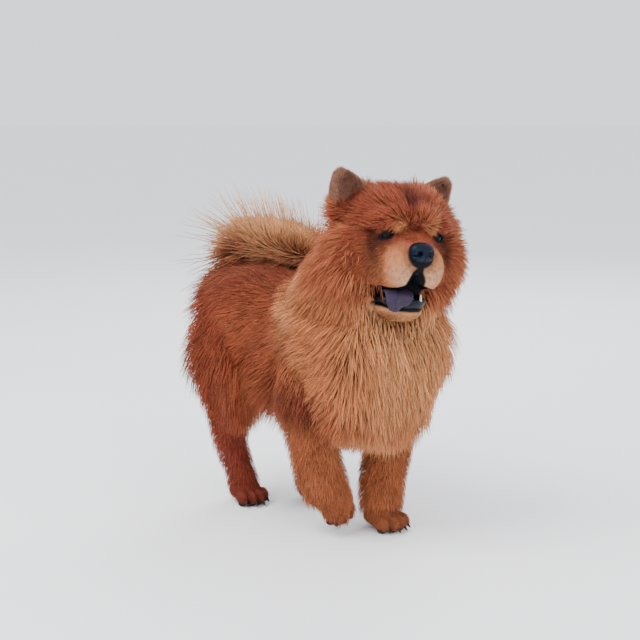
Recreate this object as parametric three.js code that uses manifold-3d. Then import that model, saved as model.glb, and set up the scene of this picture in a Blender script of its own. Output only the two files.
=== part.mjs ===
// A rough-coated chow chow walking, as a still life-size model, in millimetres.
// +X is the dog's front, +Y its left and +Z up. The floor is at Z = 0.
// Each part of the body is a closed solid of its own, 0.3 mm clear of the next one.
// Long hair is flat tapered locks, in loops over the surface that they grow from.

import * as THREE from 'three';
import { LoftGeometry } from 'three/addons/geometries/LoftGeometry.js';
import { mergeVertices } from 'three/addons/utils/BufferGeometryUtils.js';
import Module from 'manifold-3d';

const wasm = await Module();
wasm.setup();

// Driving dimensions
const GAP = 0.3; // between parts that touch
const BACK_HEIGHT = 490; // top of the coat along the back
const BODY_HALF_WIDTH = 152;
const RUMP_LINE = -118; // where the rump meets the trunk, along X
const HEAD_CENTRE = [ 234, - 12, 562 ];
const HEAD_TURN = THREE.MathUtils.degToRad( - 12 ); // to its right
const HEAD_ROLL = THREE.MathUtils.degToRad( - 6 ); // crown leans to its left
const EYE_RADIUS = 12.5;
const EYE_PLACE = [ 30, 50, 8 ]; // left eye, in the head's own frame
const EAR_TIP = 106; // above the head's centre
const LOCK_THICKNESS = 9;
const LOCK_SECTIONS = [ [ 0, 0.75, 1 ], [ 0.62, 1, 1 ], [ 1, 0.16, 0.2 ] ]; // place, width, depth
const SINK = 16; // how deep a lock is rooted
const LIFT = 22; // of the right forepaw, off the floor

const LEFT = new THREE.Vector3( 0, 1, 0 );
const UP = new THREE.Vector3( 0, 0, 1 );
const FRONT = new THREE.Vector3( 1, 0, 0 );

// A seeded draw between -1 and 1, so that locks vary but every run is alike
let seed = 20260701;
function draw() {

	seed = ( seed * 1664525 + 1013904223 ) % 4294967296;
	return seed / 2147483648 - 1;

}

// Solids

function solid( geometry, matrix = null ) {

	const bare = new THREE.BufferGeometry().setIndex( geometry.index );
	bare.setAttribute( 'position', geometry.attributes.position );
	if ( matrix ) bare.applyMatrix4( matrix );
	const merged = mergeVertices( bare, 1e-3 );
	return new wasm.Manifold( new wasm.Mesh( {
		numProp: 3,
		vertProperties: merged.attributes.position.array,
		triVerts: new Uint32Array( merged.index.array )
	} ) );

}

function join( pieces ) {

	return wasm.Manifold.union( pieces );

}

const less = ( shape, ...others ) => others.reduce( ( rest, other ) => rest.subtract( other ), shape );

// The largest closed surface, so that no loose scrap or sealed hollow stays
function whole( shape ) {

	return shape.decompose().reduce( ( a, b ) => ( a.volume() > b.volume() ? a : b ) );

}

function geometryOf( shape ) {

	const mesh = shape.getMesh();
	const places = new Float32Array( mesh.numVert * 3 );
	for ( let i = 0; i < mesh.numVert; i ++ ) {

		places.set( mesh.vertProperties.subarray( i * mesh.numProp, i * mesh.numProp + 3 ), i * 3 );

	}

	const geometry = new THREE.BufferGeometry();
	geometry.setAttribute( 'position', new THREE.BufferAttribute( places, 3 ) );
	geometry.setIndex( new THREE.BufferAttribute( mesh.triVerts, 1 ) );
	geometry.computeVertexNormals();
	return geometry;

}

// A placement: turned about X, then Y, then Z, and set at a place
function turned( [ x, y, z ], roll = 0, pitch = 0, yaw = 0 ) {

	const turn = new THREE.Euler( roll, pitch, yaw, 'ZYX' );
	return new THREE.Matrix4().makeRotationFromEuler( turn ).setPosition( x, y, z );

}

function egg( centre, radii, { around = 14, along = 9, roll = 0, pitch = 0, yaw = 0, grow = 0 } = {} ) {

	const ball = new THREE.SphereGeometry( 1, around, along );
	ball.scale( radii[ 0 ] + grow, radii[ 1 ] + grow, radii[ 2 ] + grow );
	return solid( ball, turned( centre, roll, pitch, yaw ) );

}

function slab( low, high ) {

	const size = high.map( ( v, i ) => v - low[ i ] );
	const box = new THREE.BoxGeometry( ...size );
	return solid( box, turned( low.map( ( v, i ) => v + size[ i ] / 2 ) ) );

}

// A round limb or trunk. Each station gives its centre, its half-width, and its reach on
// the upper (or front) side and on the lower (or back) side; a smooth curve joins them.
class Limb {

	constructor( stations, { sides = 16, steps = 12, domes = [ 20, 20 ], square = 2.3 } = {} ) {

		this.path = new THREE.CatmullRomCurve3( stations.map( ( s ) => new THREE.Vector3( ...s.at ) ) );
		this.reach = new THREE.CatmullRomCurve3( stations.map( ( s ) => new THREE.Vector3( ...s.r ) ) );
		this.sides = sides;
		this.steps = steps;
		this.domes = domes;
		this.square = square;

	}

	axes( t ) {

		const ahead = this.path.getPoint( Math.min( 1, t + 0.01 ) );
		const along = ahead.sub( this.path.getPoint( Math.max( 0, t - 0.01 ) ) ).normalize();
		const side = LEFT.clone().addScaledVector( along, - along.dot( LEFT ) ).normalize();
		return { along, side, up: new THREE.Vector3().crossVectors( along, side ) };

	}

	// A point of the section at t, at an angle from the left side towards the top
	point( t, angle, scale = 1, shift = 0, grow = 0 ) {

		const { along, side, up } = this.axes( t );
		const r = this.reach.getPoint( t );
		const c = Math.cos( angle );
		const s = Math.sin( angle );
		const bulge = Math.pow( Math.abs( c ), this.square ) + Math.pow( Math.abs( s ), this.square );
		const full = Math.pow( bulge, - 1 / this.square );
		return this.path.getPoint( t )
			.addScaledVector( along, shift )
			.addScaledVector( side, c * full * ( r.x + grow ) * scale )
			.addScaledVector( up, s * full * ( ( s > 0 ? r.y : r.z ) + grow ) * scale );

	}

	// The surface at t and angle: t below 0 or above 1 runs on over the domed ends
	surface( t, angle, grow = 0 ) {

		const over = t < 0 ? t : Math.max( t - 1, 0 );
		const dome = ( t < 0 ? this.domes[ 0 ] : this.domes[ 1 ] ) + grow;
		const slope = over * Math.PI / 2;
		return this.point( t - over, angle, Math.cos( slope ), dome * Math.sin( slope ), grow );

	}

	// The place, outward direction and forward direction of the surface at t and angle
	skin( t, angle ) {

		const h = 0.01;
		const place = this.surface( t, angle );
		const along = this.surface( t + h, angle ).sub( this.surface( t - h, angle ) ).normalize();
		const round = this.surface( t, angle + h ).sub( this.surface( t, angle - h ) ).normalize();
		return { place, out: new THREE.Vector3().crossVectors( round, along ).normalize(), along };

	}

	solid( grow = 0 ) {

		const steps = Array.from( { length: this.steps + 1 }, ( _, i ) => i / this.steps );
		const rings = [ ...[ 0.8, 0.47 ].map( ( t ) => - t ), ...steps, 1.47, 1.8 ].map( ( t ) =>
			Array.from( { length: this.sides }, ( _, i ) =>
				this.surface( t, 2 * Math.PI * ( i + 0.5 ) / this.sides, grow ) ) );
		return solid( new LoftGeometry( rings, { capStart: true, capEnd: true } ) );

	}

}

// A flat tapered lock with a ridge. It leaves its root one way and bends to another.
class Lock {

	constructor( place, start, end, across, length, width ) {

		this.root = place.clone().addScaledVector( start, - SINK );
		this.start = start;
		this.end = end;
		this.across = across;
		this.length = length + SINK;
		this.width = width;

	}

	at( s ) {

		return this.root.clone()
			.addScaledVector( this.start, this.length * s * ( 1 - s / 2 ) )
			.addScaledVector( this.end, this.length * s * s / 2 );

	}

	solid( grow = 0 ) {

		const rings = LOCK_SECTIONS.map( ( [ s, wide, thick ] ) => {

			const along = this.at( s + 0.02 ).sub( this.at( s - 0.02 ) ).normalize();
			const left = this.across.clone().addScaledVector( along, - along.dot( this.across ) ).normalize();
			const ridge = new THREE.Vector3().crossVectors( along, left );
			const w = this.width / 2 * wide;
			const h = LOCK_THICKNESS * thick;
			const slope = Math.hypot( w, h );
			const middle = this.at( s ).addScaledVector( along, s > 0.9 ? 3 * grow : 0 );
			const corner = ( x, z ) => middle.clone().addScaledVector( left, x ).addScaledVector( ridge, z );
			const edge = w + grow * ( slope + w ) / h;
			const base = - 0.3 * h - grow;
			return [ corner( edge, base ), corner( 0, 0.7 * h + grow * slope / w ), corner( - edge, base ) ];

		} );
		return solid( new LoftGeometry( rings, { capStart: true, capEnd: true } ) );

	}

}

// Rows of locks over a limb. A row says where it is rooted along the limb, between which
// angles round it, how many locks it has and how long and wide they are. The locks start
// lifted off the surface and end along their lie, which a function gives for each root.
function rows( limb, lie, table, { lift = 0.75, hug = 0.25 } = {} ) {

	const rowOf = ( [ t, from, to, count, length, width ] ) => Array.from( { length: count }, ( _, i ) => {

		const step = ( to - from ) / count;
		const angle = THREE.MathUtils.degToRad( from + step * ( i + 0.5 + 0.15 * draw() ) );
		const { place, out, along } = limb.skin( t + 0.012 * draw(), angle );
		const way = lie( { out, along, place, t } ).normalize();
		const flat = way.clone().addScaledVector( out, - way.dot( out ) ).normalize();
		const start = flat.clone().multiplyScalar( Math.cos( lift ) ).addScaledVector( out, Math.sin( lift ) );
		const end = flat.clone().addScaledVector( out, - hug ).normalize();
		const across = new THREE.Vector3().crossVectors( out, flat );
		return new Lock( place, start, end, across, length * ( 1 + 0.12 * draw() ), width * ( 1 + 0.12 * draw() ) );

	} );
	return table.flatMap( rowOf );

}

const sum = ( ...pairs ) =>
	pairs.reduce( ( v, [ axis, k ] ) => v.addScaledVector( axis, k ), new THREE.Vector3() );
const tufts = ( locks, grow = 0 ) => join( locks.map( ( l ) => l.solid( grow ) ) );

// Trunk and rump: one limb along the back, parted at the rump line

const trunk = new Limb( [
	{ at: [ - 222, 0, 392 ], r: [ 116, 82, 92 ] },
	{ at: [ - 150, 0, 388 ], r: [ 148, 104, 116 ] },
	{ at: [ - 60, 0, 376 ], r: [ 147, BACK_HEIGHT - 380, 122 ] },
	{ at: [ 40, 0, 364 ], r: [ BODY_HALF_WIDTH - 3, BACK_HEIGHT - 366, 142 ] },
	{ at: [ 130, 0, 350 ], r: [ BODY_HALF_WIDTH, 148, 162 ] },
	{ at: [ 205, 0, 345 ], r: [ 130, 130, 142 ] }
], { sides: 18, steps: 9, domes: [ 48, 48 ] } );

const fore = ( x ) => slab( [ x, - 400, - 50 ], [ 600, 400, 900 ] );
const aft = ( x ) => slab( [ - 600, - 400, - 50 ], [ x, 400, 900 ] );
const above = ( z ) => slab( [ - 600, - 400, z ], [ 600, 400, 900 ] );
const slabBetween = ( low, high ) => slab( [ - 600, - 400, low ], [ 600, 400, high ] );
const below = ( z ) => slab( [ - 600, - 400, - 200 ], [ 600, 400, z ] );

// Neck: rises from the withers to the back of the skull

const neck = new Limb( [
	{ at: [ 96, 0, 400 ], r: [ 130, 110, 150 ] },
	{ at: [ 138, - 2, 446 ], r: [ 130, 110, 136 ] },
	{ at: [ 176, - 6, 494 ], r: [ 124, 104, 108 ] },
	{ at: [ 200, - 8, 536 ], r: [ 112, 88, 74 ] }
], { sides: 16, steps: 4, domes: [ 30, 34 ] } );

// Head frame: X towards the nose, Y to the left, Z to the crown

const headFrame = turned( HEAD_CENTRE, HEAD_ROLL, 0, HEAD_TURN );
const inHead = ( shape ) => shape.transform( headFrame.elements );
const MIRROR = [ 1, - 1 ]; // left, right

function skull( grow = 0 ) {

	const pieces = [
		egg( [ - 34, 0, 19 ], [ 80, 102, 79 ], { around: 16, along: 10, grow } ),
		egg( [ 34, 0, - 22 ], [ 42, 46, 41 ], { around: 12, along: 8, grow } )
	];
	for ( const m of MIRROR ) {

		pieces.push( egg( [ - 16, 56 * m, - 34 ], [ 58, 56, 66 ], { around: 12, along: 7, grow } ) );
		const brow = { around: 10, along: 6, pitch: 0.5, roll: - 0.35 * m, grow };
		pieces.push( egg( [ 28, 27 * m, 32 ], [ 22, 24, 17 ], brow ) );
		pieces.push( egg( [ 38, 31 * m, - 48 ], [ 38, 34, 42 ], { around: 12, along: 8, yaw: - 0.12 * m, grow } ) );
		pieces.push( egg( [ 18, 57 * m, - 6 ], [ 17, 18, 10 ], { around: 9, along: 5, roll: - 0.3 * m, grow } ) );

	}

	return join( pieces );

}

// The open mouth: a hollow under the muzzle, wide to its corners
function mouth( grow = 0 ) {

	return egg( [ 26, 0, - 92 ], [ 50, 52, 25 ], { around: 14, along: 6, grow } );

}

function eyeBall( m, grow = 0 ) {

	const radii = [ EYE_RADIUS, EYE_RADIUS, EYE_RADIUS ];
	return egg( [ EYE_PLACE[ 0 ], EYE_PLACE[ 1 ] * m, EYE_PLACE[ 2 ] ], radii, { around: 10, along: 6, grow } );

}

// The slanted slot in the face through which the eyeball shows
function eyeSlot( m ) {

	const at = [ EYE_PLACE[ 0 ] + 14, EYE_PLACE[ 1 ] * m, EYE_PLACE[ 2 ] - 1 ];
	return egg( at, [ 22, 15, 8 ], { around: 8, along: 5, roll: - 0.3 * m } );

}

// Lids: a thick shell round the eyeball, with a slanted almond opening
function lids( m ) {

	const at = [ EYE_PLACE[ 0 ], EYE_PLACE[ 1 ] * m, EYE_PLACE[ 2 ] ];
	const shell = egg( at, [ 17, 18, 16 ], { around: 10, along: 6 } );
	const front = [ at[ 0 ] + 12, at[ 1 ] + 2 * m, at[ 2 ] - 1 ];
	const opening = egg( front, [ 14, 11.5, 5.5 ], { around: 8, along: 5, roll: - 0.32 * m } );
	return shell.subtract( opening );

}

function jaw( grow = 0 ) {

	return join( [
		egg( [ 8, 0, - 121 ], [ 48, 47, 20 ], { around: 14, along: 6, pitch: 0.08, grow } ),
		egg( [ 34, 0, - 121 ], [ 25, 32, 18 ], { around: 12, along: 6, grow } )
	] );

}

// Nose: a rounded pad with the groove of the upper lip under it
function noseBlank( grow = 0 ) {

	return join( [
		egg( [ 70, 0, - 19 ], [ 17, 23, 17 ], { around: 12, along: 7, grow } ),
		egg( [ 68, 0, - 36 ], [ 13, 11, 17 ], { around: 8, along: 5, grow } )
	] );

}

function nose() {

	let pad = noseBlank();
	for ( const m of MIRROR ) {

		const nostril = egg( [ 84, 10.5 * m, - 21 ], [ 9, 4.6, 5 ], { around: 8, along: 5, yaw: - 0.3 * m } );
		const slit = egg( [ 76, 22 * m, - 25 ], [ 11, 5.5, 2 ], { around: 6, along: 4 } );
		pad = less( pad, nostril, slit );

	}

	return pad.subtract( slab( [ 78, - 0.9, - 60 ], [ 100, 0.9, - 22 ] ) );

}

// Tongue: out of the mouth's floor and down over the right-hand lip
const tongue = new Limb( [
	{ at: [ - 8, - 4, - 97 ], r: [ 23, 6, 6 ] },
	{ at: [ 30, - 16, - 91 ], r: [ 27, 6, 6 ] },
	{ at: [ 54, - 28, - 94 ], r: [ 27, 5, 5 ] },
	{ at: [ 64, - 36, - 110 ], r: [ 23, 4, 4 ] },
	{ at: [ 65, - 40, - 126 ], r: [ 11, 3, 3 ] }
], { sides: 8, steps: 6, domes: [ 6, 5 ], square: 2 } );

// Ears: small thick rounded triangles that lean out and forward, hollowed in front
function ear( m, grow = 0 ) {

	const blade = new Limb( [
		{ at: [ - 54, 70 * m, 40 ], r: [ 42, 19, 18 ] },
		{ at: [ - 50, 86 * m, EAR_TIP - 40 ], r: [ 37, 15, 15 ] },
		{ at: [ - 46, 100 * m, EAR_TIP - 20 ], r: [ 27, 11, 12 ] },
		{ at: [ - 42, 111 * m, EAR_TIP - 5 ], r: [ 14, 7, 8 ] }
	], { sides: 9, steps: 4, domes: [ 6, 6 ], square: 2 } ).solid( grow );
	const cup = new Limb( [
		{ at: [ - 36, 78 * m, 54 ], r: [ 25, 14, 6 ] },
		{ at: [ - 36, 88 * m, EAR_TIP - 32 ], r: [ 22, 12, 5 ] },
		{ at: [ - 35, 102 * m, EAR_TIP - 14 ], r: [ 12, 8, 3 ] }
	], { sides: 7, steps: 2, domes: [ 5, 5 ], square: 2 } ).solid( - grow );
	return blade.subtract( cup );

}

// Legs, each from the body to its paw, parted by level cuts

function legs( name ) {

	const left = name.endsWith( 'left' );
	const m = left ? 1 : - 1;
	if ( name === 'fore_left' ) return new Limb( [
		{ at: [ 118, 88, 330 ], r: [ 58, 80, 70 ] },
		{ at: [ 122, 84, 235 ], r: [ 54, 58, 56 ] },
		{ at: [ 128, 66, 160 ], r: [ 49, 50, 50 ] },
		{ at: [ 130, 50, 95 ], r: [ 43, 44, 44 ] },
		{ at: [ 134, 42, 38 ], r: [ 38, 38, 38 ] }
	], { sides: 12, steps: 8, domes: [ 30, 16 ] } );
	if ( name === 'fore_right' ) return new Limb( [
		{ at: [ 92, - 96, 330 ], r: [ 58, 80, 70 ] },
		{ at: [ 84, - 96, 250 ], r: [ 54, 60, 56 ] },
		{ at: [ 82, - 86, 190 ], r: [ 49, 50, 50 ] },
		{ at: [ 88, - 74, 130 ], r: [ 46, 46, 44 ] },
		{ at: [ 98, - 62, 84 ], r: [ 44, 36, 36 ] }
	], { sides: 12, steps: 8, domes: [ 30, 22 ] } );
	const step = left ? 80 : 0;
	return new Limb( [
		{ at: [ - 178 + step * 0.1, 84 * m, 400 ], r: [ 58, 84, 78 ] },
		{ at: [ - 166 + step * 0.35, 96 * m, 300 ], r: [ 62, 88, 92 ] },
		{ at: [ - 172 + step * 0.7, 88 * m, 215 ], r: [ 50, 62, 66 ] },
		{ at: [ - 188 + step * 0.9, 72 * m, 130 ], r: [ 37, 40, 44 ] },
		{ at: [ - 178 + step, 60 * m, 72 ], r: [ 31, 31, 32 ] },
		{ at: [ - 168 + step, 54 * m, 36 ], r: [ 30, 30, 30 ] }
	], { sides: 12, steps: 10, domes: [ 30, 14 ] } );

}

// A standing paw: a low pad with four toes and their claws, cut flat at the floor
function paw( heel, turn, size = 1 ) {

	const pieces = [ egg( [ 0, 0, 22 ], [ 38 * size, 36 * size, 26 ], { around: 10, along: 5 } ) ];
	for ( const [ i, lead ] of [ 0, 1, 1, 0 ].entries() ) {

		const y = ( i - 1.5 ) * 18 * size;
		const x = ( 26 + 10 * lead ) * size;
		pieces.push( egg( [ x, y, 17 ], [ 21 * size, 11.5 * size, 19 ], { around: 7, along: 4 } ) );
		pieces.push( egg( [ x + 19 * size, y, 8 ], [ 9, 3, 4 ], { around: 4, along: 2, pitch: 0.5 } ) );

	}

	const placed = join( pieces ).transform( turned( [ ...heel, 0 ], 0, 0, turn ).elements );
	return placed.intersect( above( 0 ) );

}

// The lifted paw: it hangs from the bent wrist, its toe tips a little off the floor
function bentPaw() {

	const pieces = [ egg( [ 0, 0, 46 ], [ 33, 38, 42 ], { around: 10, along: 6, pitch: - 0.25 } ) ];
	for ( const [ i, lead ] of [ 0, 1, 1, 0 ].entries() ) {

		const y = ( i - 1.5 ) * 17;
		pieces.push( egg( [ 10, y, 24 - 7 * lead ], [ 17, 11, 20 ], { around: 7, along: 4, pitch: - 0.2 } ) );
		pieces.push( egg( [ 8, y, 7 - 4 * lead ], [ 4, 3, 8 ], { around: 4, along: 2 } ) );

	}

	return join( pieces ).transform( turned( [ 104, - 52, LIFT ], 0, 0, 0.1 ).elements ).intersect( above( 0 ) );

}

// Tail: up from the croup and forward over the back

const tail = new Limb( [
	{ at: [ - 232, 4, 448 ], r: [ 36, 32, 36 ] },
	{ at: [ - 248, 8, 496 ], r: [ 44, 32, 40 ] },
	{ at: [ - 212, 14, 533 ], r: [ 50, 28, 44 ] },
	{ at: [ - 145, 20, 535 ], r: [ 54, 26, 48 ] },
	{ at: [ - 78, 22, 524 ], r: [ 46, 22, 38 ] },
	{ at: [ - 34, 20, 512 ], r: [ 26, 14, 24 ] }
], { sides: 10, steps: 8, domes: [ 16, 12 ], square: 2 } );

// Coat

// Mane: backwards from the head and down over the shoulders and chest
const manes = rows( neck, ( { along } ) => sum( [ along, - 1 ], [ UP, - 0.25 ] ), [
	[ 0.92, 200, 340, 4, 76, 62 ],
	[ 0.8, - 60, 40, 3, 90, 58 ],
	[ 0.8, 140, 240, 3, 90, 58 ],
	[ 0.58, 195, 345, 4, 94, 70 ],
	[ 0.45, - 34, 46, 3, 98, 60 ],
	[ 0.45, 134, 214, 3, 98, 60 ],
	[ 0.66, 48, 132, 2, 92, 64 ],
	[ 0.3, 44, 136, 4, 96, 60 ],
	[ 0.16, - 40, 40, 3, 98, 60 ],
	[ 0.16, 140, 220, 3, 98, 60 ]
] );

// Bib, belly fringe and breeches of the trunk
const bib = rows( trunk, () => UP.clone().negate(), [
	[ 1.78, 170, 370, 3, 86, 62 ],
	[ 1.4, 178, 362, 5, 90, 62 ],
	[ 1.06, 184, 356, 5, 88, 68 ],
	[ 0.88, 210, 330, 4, 70, 60 ]
] );
const fringe = rows( trunk, ( { along } ) => sum( [ along, - 1 ], [ UP, - 0.8 ] ), [
	[ 0.8, - 36, 20, 2, 86, 64 ],
	[ 0.8, 160, 216, 2, 86, 64 ],
	[ 0.62, 225, 315, 3, 64, 64 ],
	[ 0.44, 230, 310, 2, 60, 64 ]
], { lift: 0.7 } );
const breeches = rows( trunk, ( { out } ) => sum( [ UP, - 1 ], [ out, 0.2 ] ), [
	[ - 0.25, 180, 360, 5, 78, 62 ],
	[ - 0.6, 184, 356, 3, 74, 58 ]
] );

// Plume: from hanging at the tail's root, through backwards and up, to forwards at its tip
const plume = [ 0.06, 0.25, 0.43, 0.61, 0.79, 1.05 ].flatMap( ( t, row ) => {

	const turn = THREE.MathUtils.degToRad( 232 - 195 * t );
	const fan = new THREE.Vector3( Math.cos( turn ), 0, Math.sin( turn ) );
	const length = 76 - 26 * Math.abs( t - 0.3 );
	return Array.from( { length: 4 + ( row + 1 ) % 2 }, ( _, i ) => {

		const angle = THREE.MathUtils.degToRad( - 26 + 58 * ( i + 0.5 * ( row % 2 ) ) + 5 * draw() );
		const { place, out, along } = tail.skin( t + 0.02 * draw(), angle );
		const start = sum( [ out, 0.8 ], [ fan, 0.5 ], [ along, 0.3 ] ).normalize();
		const end = sum( [ fan, 1 ], [ out, 0.3 ], [ along, 0.3 ] ).normalize();
		const across = new THREE.Vector3().crossVectors( out, fan );
		if ( across.length() < 0.5 ) across.add( along );
		return new Lock( place, start, end, across.normalize(), length * ( 1 + 0.14 * draw() ), 60 );

	} );

} );

// Feathering down the back of each leg
const feathers = ( limb, table ) =>
	rows( limb, () => sum( [ UP, - 1 ], [ FRONT, - 0.35 ] ), table, { lift: 0.75, hug: 0 } );

// Ring of long hair round the face, in the head's frame
const ruff = MIRROR.flatMap( ( m ) => [ [ - 18, 70 ], [ - 50, 84 ] ].flatMap( ( [ x, length ] ) => {

	const count = 5;
	return Array.from( { length: count }, ( _, i ) => {

		const a = THREE.MathUtils.degToRad( - 76 + 112 * ( i + 0.5 ) / count + 3 * draw() );
		const place = new THREE.Vector3( x, m * 102 * Math.cos( a ), - 10 + 84 * Math.sin( a ) );
		const out = new THREE.Vector3( 0.05, m * Math.cos( a ), Math.sin( a ) ).normalize();
		const end = sum( [ FRONT, - 0.8 ], [ out, 0.85 ], [ UP, - 0.3 ] ).normalize();
		const across = new THREE.Vector3().crossVectors( out, end ).normalize();
		return new Lock( place, out, end, across, length * ( 1 + 0.12 * draw() ), 60 );

	} );

} ) );

// Assembly

const LOOKS = {
	coat: { color: 0x9a4f26, roughness: 0.92, metalness: 0 },
	mane: { color: 0xb06a36, roughness: 0.92, metalness: 0 },
	pale: { color: 0xcf9c66, roughness: 0.92, metalness: 0 },
	nose: { color: 0x141a26, roughness: 0.45, metalness: 0 },
	tongue: { color: 0x5a4b70, roughness: 0.4, metalness: 0 },
	eye: { color: 0x1c120c, roughness: 0.1, metalness: 0 }
};

const dog = new THREE.Group();

function add( name, look, shape ) {

	const mesh = new THREE.Mesh( geometryOf( whole( shape ) ), new THREE.MeshStandardMaterial( LOOKS[ look ] ) );
	mesh.name = name;
	dog.add( mesh );

}

// Head and what it carries
const ears = ( grow ) => join( MIRROR.map( ( m ) => ear( m, grow ) ) );
const eyeSlots = MIRROR.map( ( m ) => eyeSlot( m ) );
const face = join( [ less( skull(), mouth(), ...eyeSlots ), ...MIRROR.map( lids ) ] );
const hair = less( tufts( ruff ), ears( GAP ), jaw( GAP ), mouth() );
const philtrum = egg( [ 84, 0, - 72 ], [ 26, 7, 20 ], { around: 8, along: 6 } );
const sockets = MIRROR.map( ( m ) => eyeBall( m, GAP ) );
const seats = [ ...sockets, noseBlank( GAP ), philtrum, jaw( GAP ), tongue.solid( GAP ) ];
add( 'head', 'coat', inHead( join( [ less( face, ...seats ), hair ] ) ) );
add( 'nose', 'nose', inHead( nose() ) );
add( 'tongue', 'tongue', inHead( tongue.solid() ) );
add( 'lower_jaw', 'pale', inHead( less( jaw(), tongue.solid( GAP ) ) ) );
for ( const m of MIRROR ) {

	const side = m > 0 ? 'left' : 'right';
	add( 'eye_' + side, 'eye', inHead( eyeBall( m ) ) );
	add( 'ear_' + side, 'coat', inHead( less( ear( m ), skull( GAP ) ) ) );

}

const mouthRoom = join( [ jaw( GAP ), mouth( GAP ), tongue.solid( GAP ) ] );
const headRoom = inHead( join( [ skull( GAP ), mouthRoom, ears( GAP ), tufts( ruff, GAP ) ] ) );
const neckAll = ( grow ) => join( [ neck.solid( grow ), tufts( manes, grow ) ] );
add( 'neck', 'mane', less( neckAll( 0 ), headRoom, trunk.solid( GAP ) ) );

const PAWS = {
	fore_left: { shape: paw( [ 134, 40 ], 0.05 ), levels: [ 200, 44 ] },
	fore_right: { shape: bentPaw(), levels: [ 205, 92 ] },
	hind_left: { shape: paw( [ - 86, 54 ], 0.1, 0.94 ), levels: [ 205, 44 ] },
	hind_right: { shape: paw( [ - 166, - 57 ], - 0.05, 0.94 ), levels: [ 205, 44 ] }
};
const HIND_FEATHERS = [ [ 0.22, 225, 315, 2, 74, 56 ], [ 0.38, 225, 315, 2, 66, 54 ] ];
const FORE_FEATHERS = [ [ 0.34, 225, 315, 2, 58, 48 ], [ 0.52, 228, 312, 2, 52, 44 ] ];
const legRoom = [];
for ( const [ name, { shape, levels: [ knee, ankle ] } ] of Object.entries( PAWS ) ) {

	const limb = legs( name );
	const leg = less( limb.solid(), trunk.solid( GAP ) );
	const grown = limb.solid( GAP );
	const feather = feathers( limb, name.startsWith( 'hind' ) ? HIND_FEATHERS : FORE_FEATHERS );
	const hair = less( tufts( feather ), trunk.solid( GAP ), grown.intersect( below( knee + GAP / 2 ) ) );
	const shin = leg.intersect( slabBetween( ankle + GAP / 2, knee - GAP / 2 ) );
	add( name + '_upper', 'coat', join( [ leg.intersect( above( knee + GAP / 2 ) ), hair ] ) );
	add( name + '_lower', 'coat', less( shin, tufts( feather, GAP ) ) );
	add( name + '_paw', 'coat', join( [ shape, limb.solid() ] ).intersect( slabBetween( 0, ankle - GAP / 2 ) ) );
	legRoom.push( grown, tufts( feather, GAP ) );

}

const trunkHair = less( tufts( [ ...bib, ...fringe ] ), headRoom, neckAll( GAP ), ...legRoom );
const rumpHair = less( tufts( breeches ), tail.solid( GAP ), tufts( plume, GAP ), ...legRoom );
const trunkCore = less( trunk.solid(), headRoom );
add( 'trunk', 'coat', join( [ trunkCore, trunkHair ] ).intersect( fore( RUMP_LINE + GAP / 2 ) ) );
add( 'rump', 'coat', join( [ trunk.solid(), rumpHair ] ).intersect( aft( RUMP_LINE - GAP / 2 ) ) );
const tailAll = join( [ tail.solid(), tufts( plume ) ] );
add( 'tail', 'pale', less( tailAll, trunk.solid( GAP ), headRoom, neckAll( GAP ) ) );

// The origin is the floor under the middle of the whole model
const box = new THREE.Box3().setFromObject( dog );
dog.userData.shift = [ - ( box.min.x + box.max.x ) / 2, - ( box.min.y + box.max.y ) / 2 ];
dog.position.set( ...dog.userData.shift, 0 );

export default dog;
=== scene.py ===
"""A rough-coated chow chow, walking with one forepaw lifted, as a still life-size model.

Lengths in the source are millimetres in the dog's own frame: +X the dog's front, +Y its left,
+Z up, the floor at Z = 0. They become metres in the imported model's frame when a mesh is made.
"""

import math

import bpy
import numpy as np
from bpy.props import FloatProperty, FloatVectorProperty, PointerProperty
from bpy.types import Operator, Panel, PropertyGroup
from mathutils import Matrix, Vector


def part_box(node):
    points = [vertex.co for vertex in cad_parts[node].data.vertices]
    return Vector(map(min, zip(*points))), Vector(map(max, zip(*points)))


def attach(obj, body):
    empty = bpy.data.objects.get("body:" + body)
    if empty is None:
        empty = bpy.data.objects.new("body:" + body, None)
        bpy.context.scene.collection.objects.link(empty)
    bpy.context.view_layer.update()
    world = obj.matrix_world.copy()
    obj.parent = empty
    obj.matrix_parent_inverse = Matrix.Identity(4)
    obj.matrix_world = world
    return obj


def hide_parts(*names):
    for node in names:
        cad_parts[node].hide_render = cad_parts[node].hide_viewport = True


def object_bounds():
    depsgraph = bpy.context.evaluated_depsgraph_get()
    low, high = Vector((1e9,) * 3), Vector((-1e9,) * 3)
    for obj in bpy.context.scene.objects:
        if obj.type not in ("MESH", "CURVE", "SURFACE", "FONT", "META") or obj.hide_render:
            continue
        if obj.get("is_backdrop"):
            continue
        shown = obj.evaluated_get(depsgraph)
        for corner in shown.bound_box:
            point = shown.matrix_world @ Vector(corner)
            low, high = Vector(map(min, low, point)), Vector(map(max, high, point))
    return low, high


bl_info = {
    "name": "Chow chow",
    "version": (1, 0, 0),
    "blender": (4, 5, 0),
    "location": "3D Viewport > Sidebar > Chow",
    "description": "Skin, coat, face and paws of a walking chow chow",
    "category": "Object",
}

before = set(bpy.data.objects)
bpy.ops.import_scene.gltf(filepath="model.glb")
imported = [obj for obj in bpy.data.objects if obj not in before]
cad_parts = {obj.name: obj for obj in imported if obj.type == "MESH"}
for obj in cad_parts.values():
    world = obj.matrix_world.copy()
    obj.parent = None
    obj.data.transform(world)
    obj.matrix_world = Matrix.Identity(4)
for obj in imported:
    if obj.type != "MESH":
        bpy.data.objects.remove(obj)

# Frame of the head: X to the nose, Y to the left, Z to the crown
HEAD_CENTRE = np.array([234.0, -12.0, 562.0])
HEAD_TURN, HEAD_ROLL = math.radians(-12), math.radians(-6)
EYE = np.array([30.0, 50.0, 8.0])
EYE_RADIUS = 12.5
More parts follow.
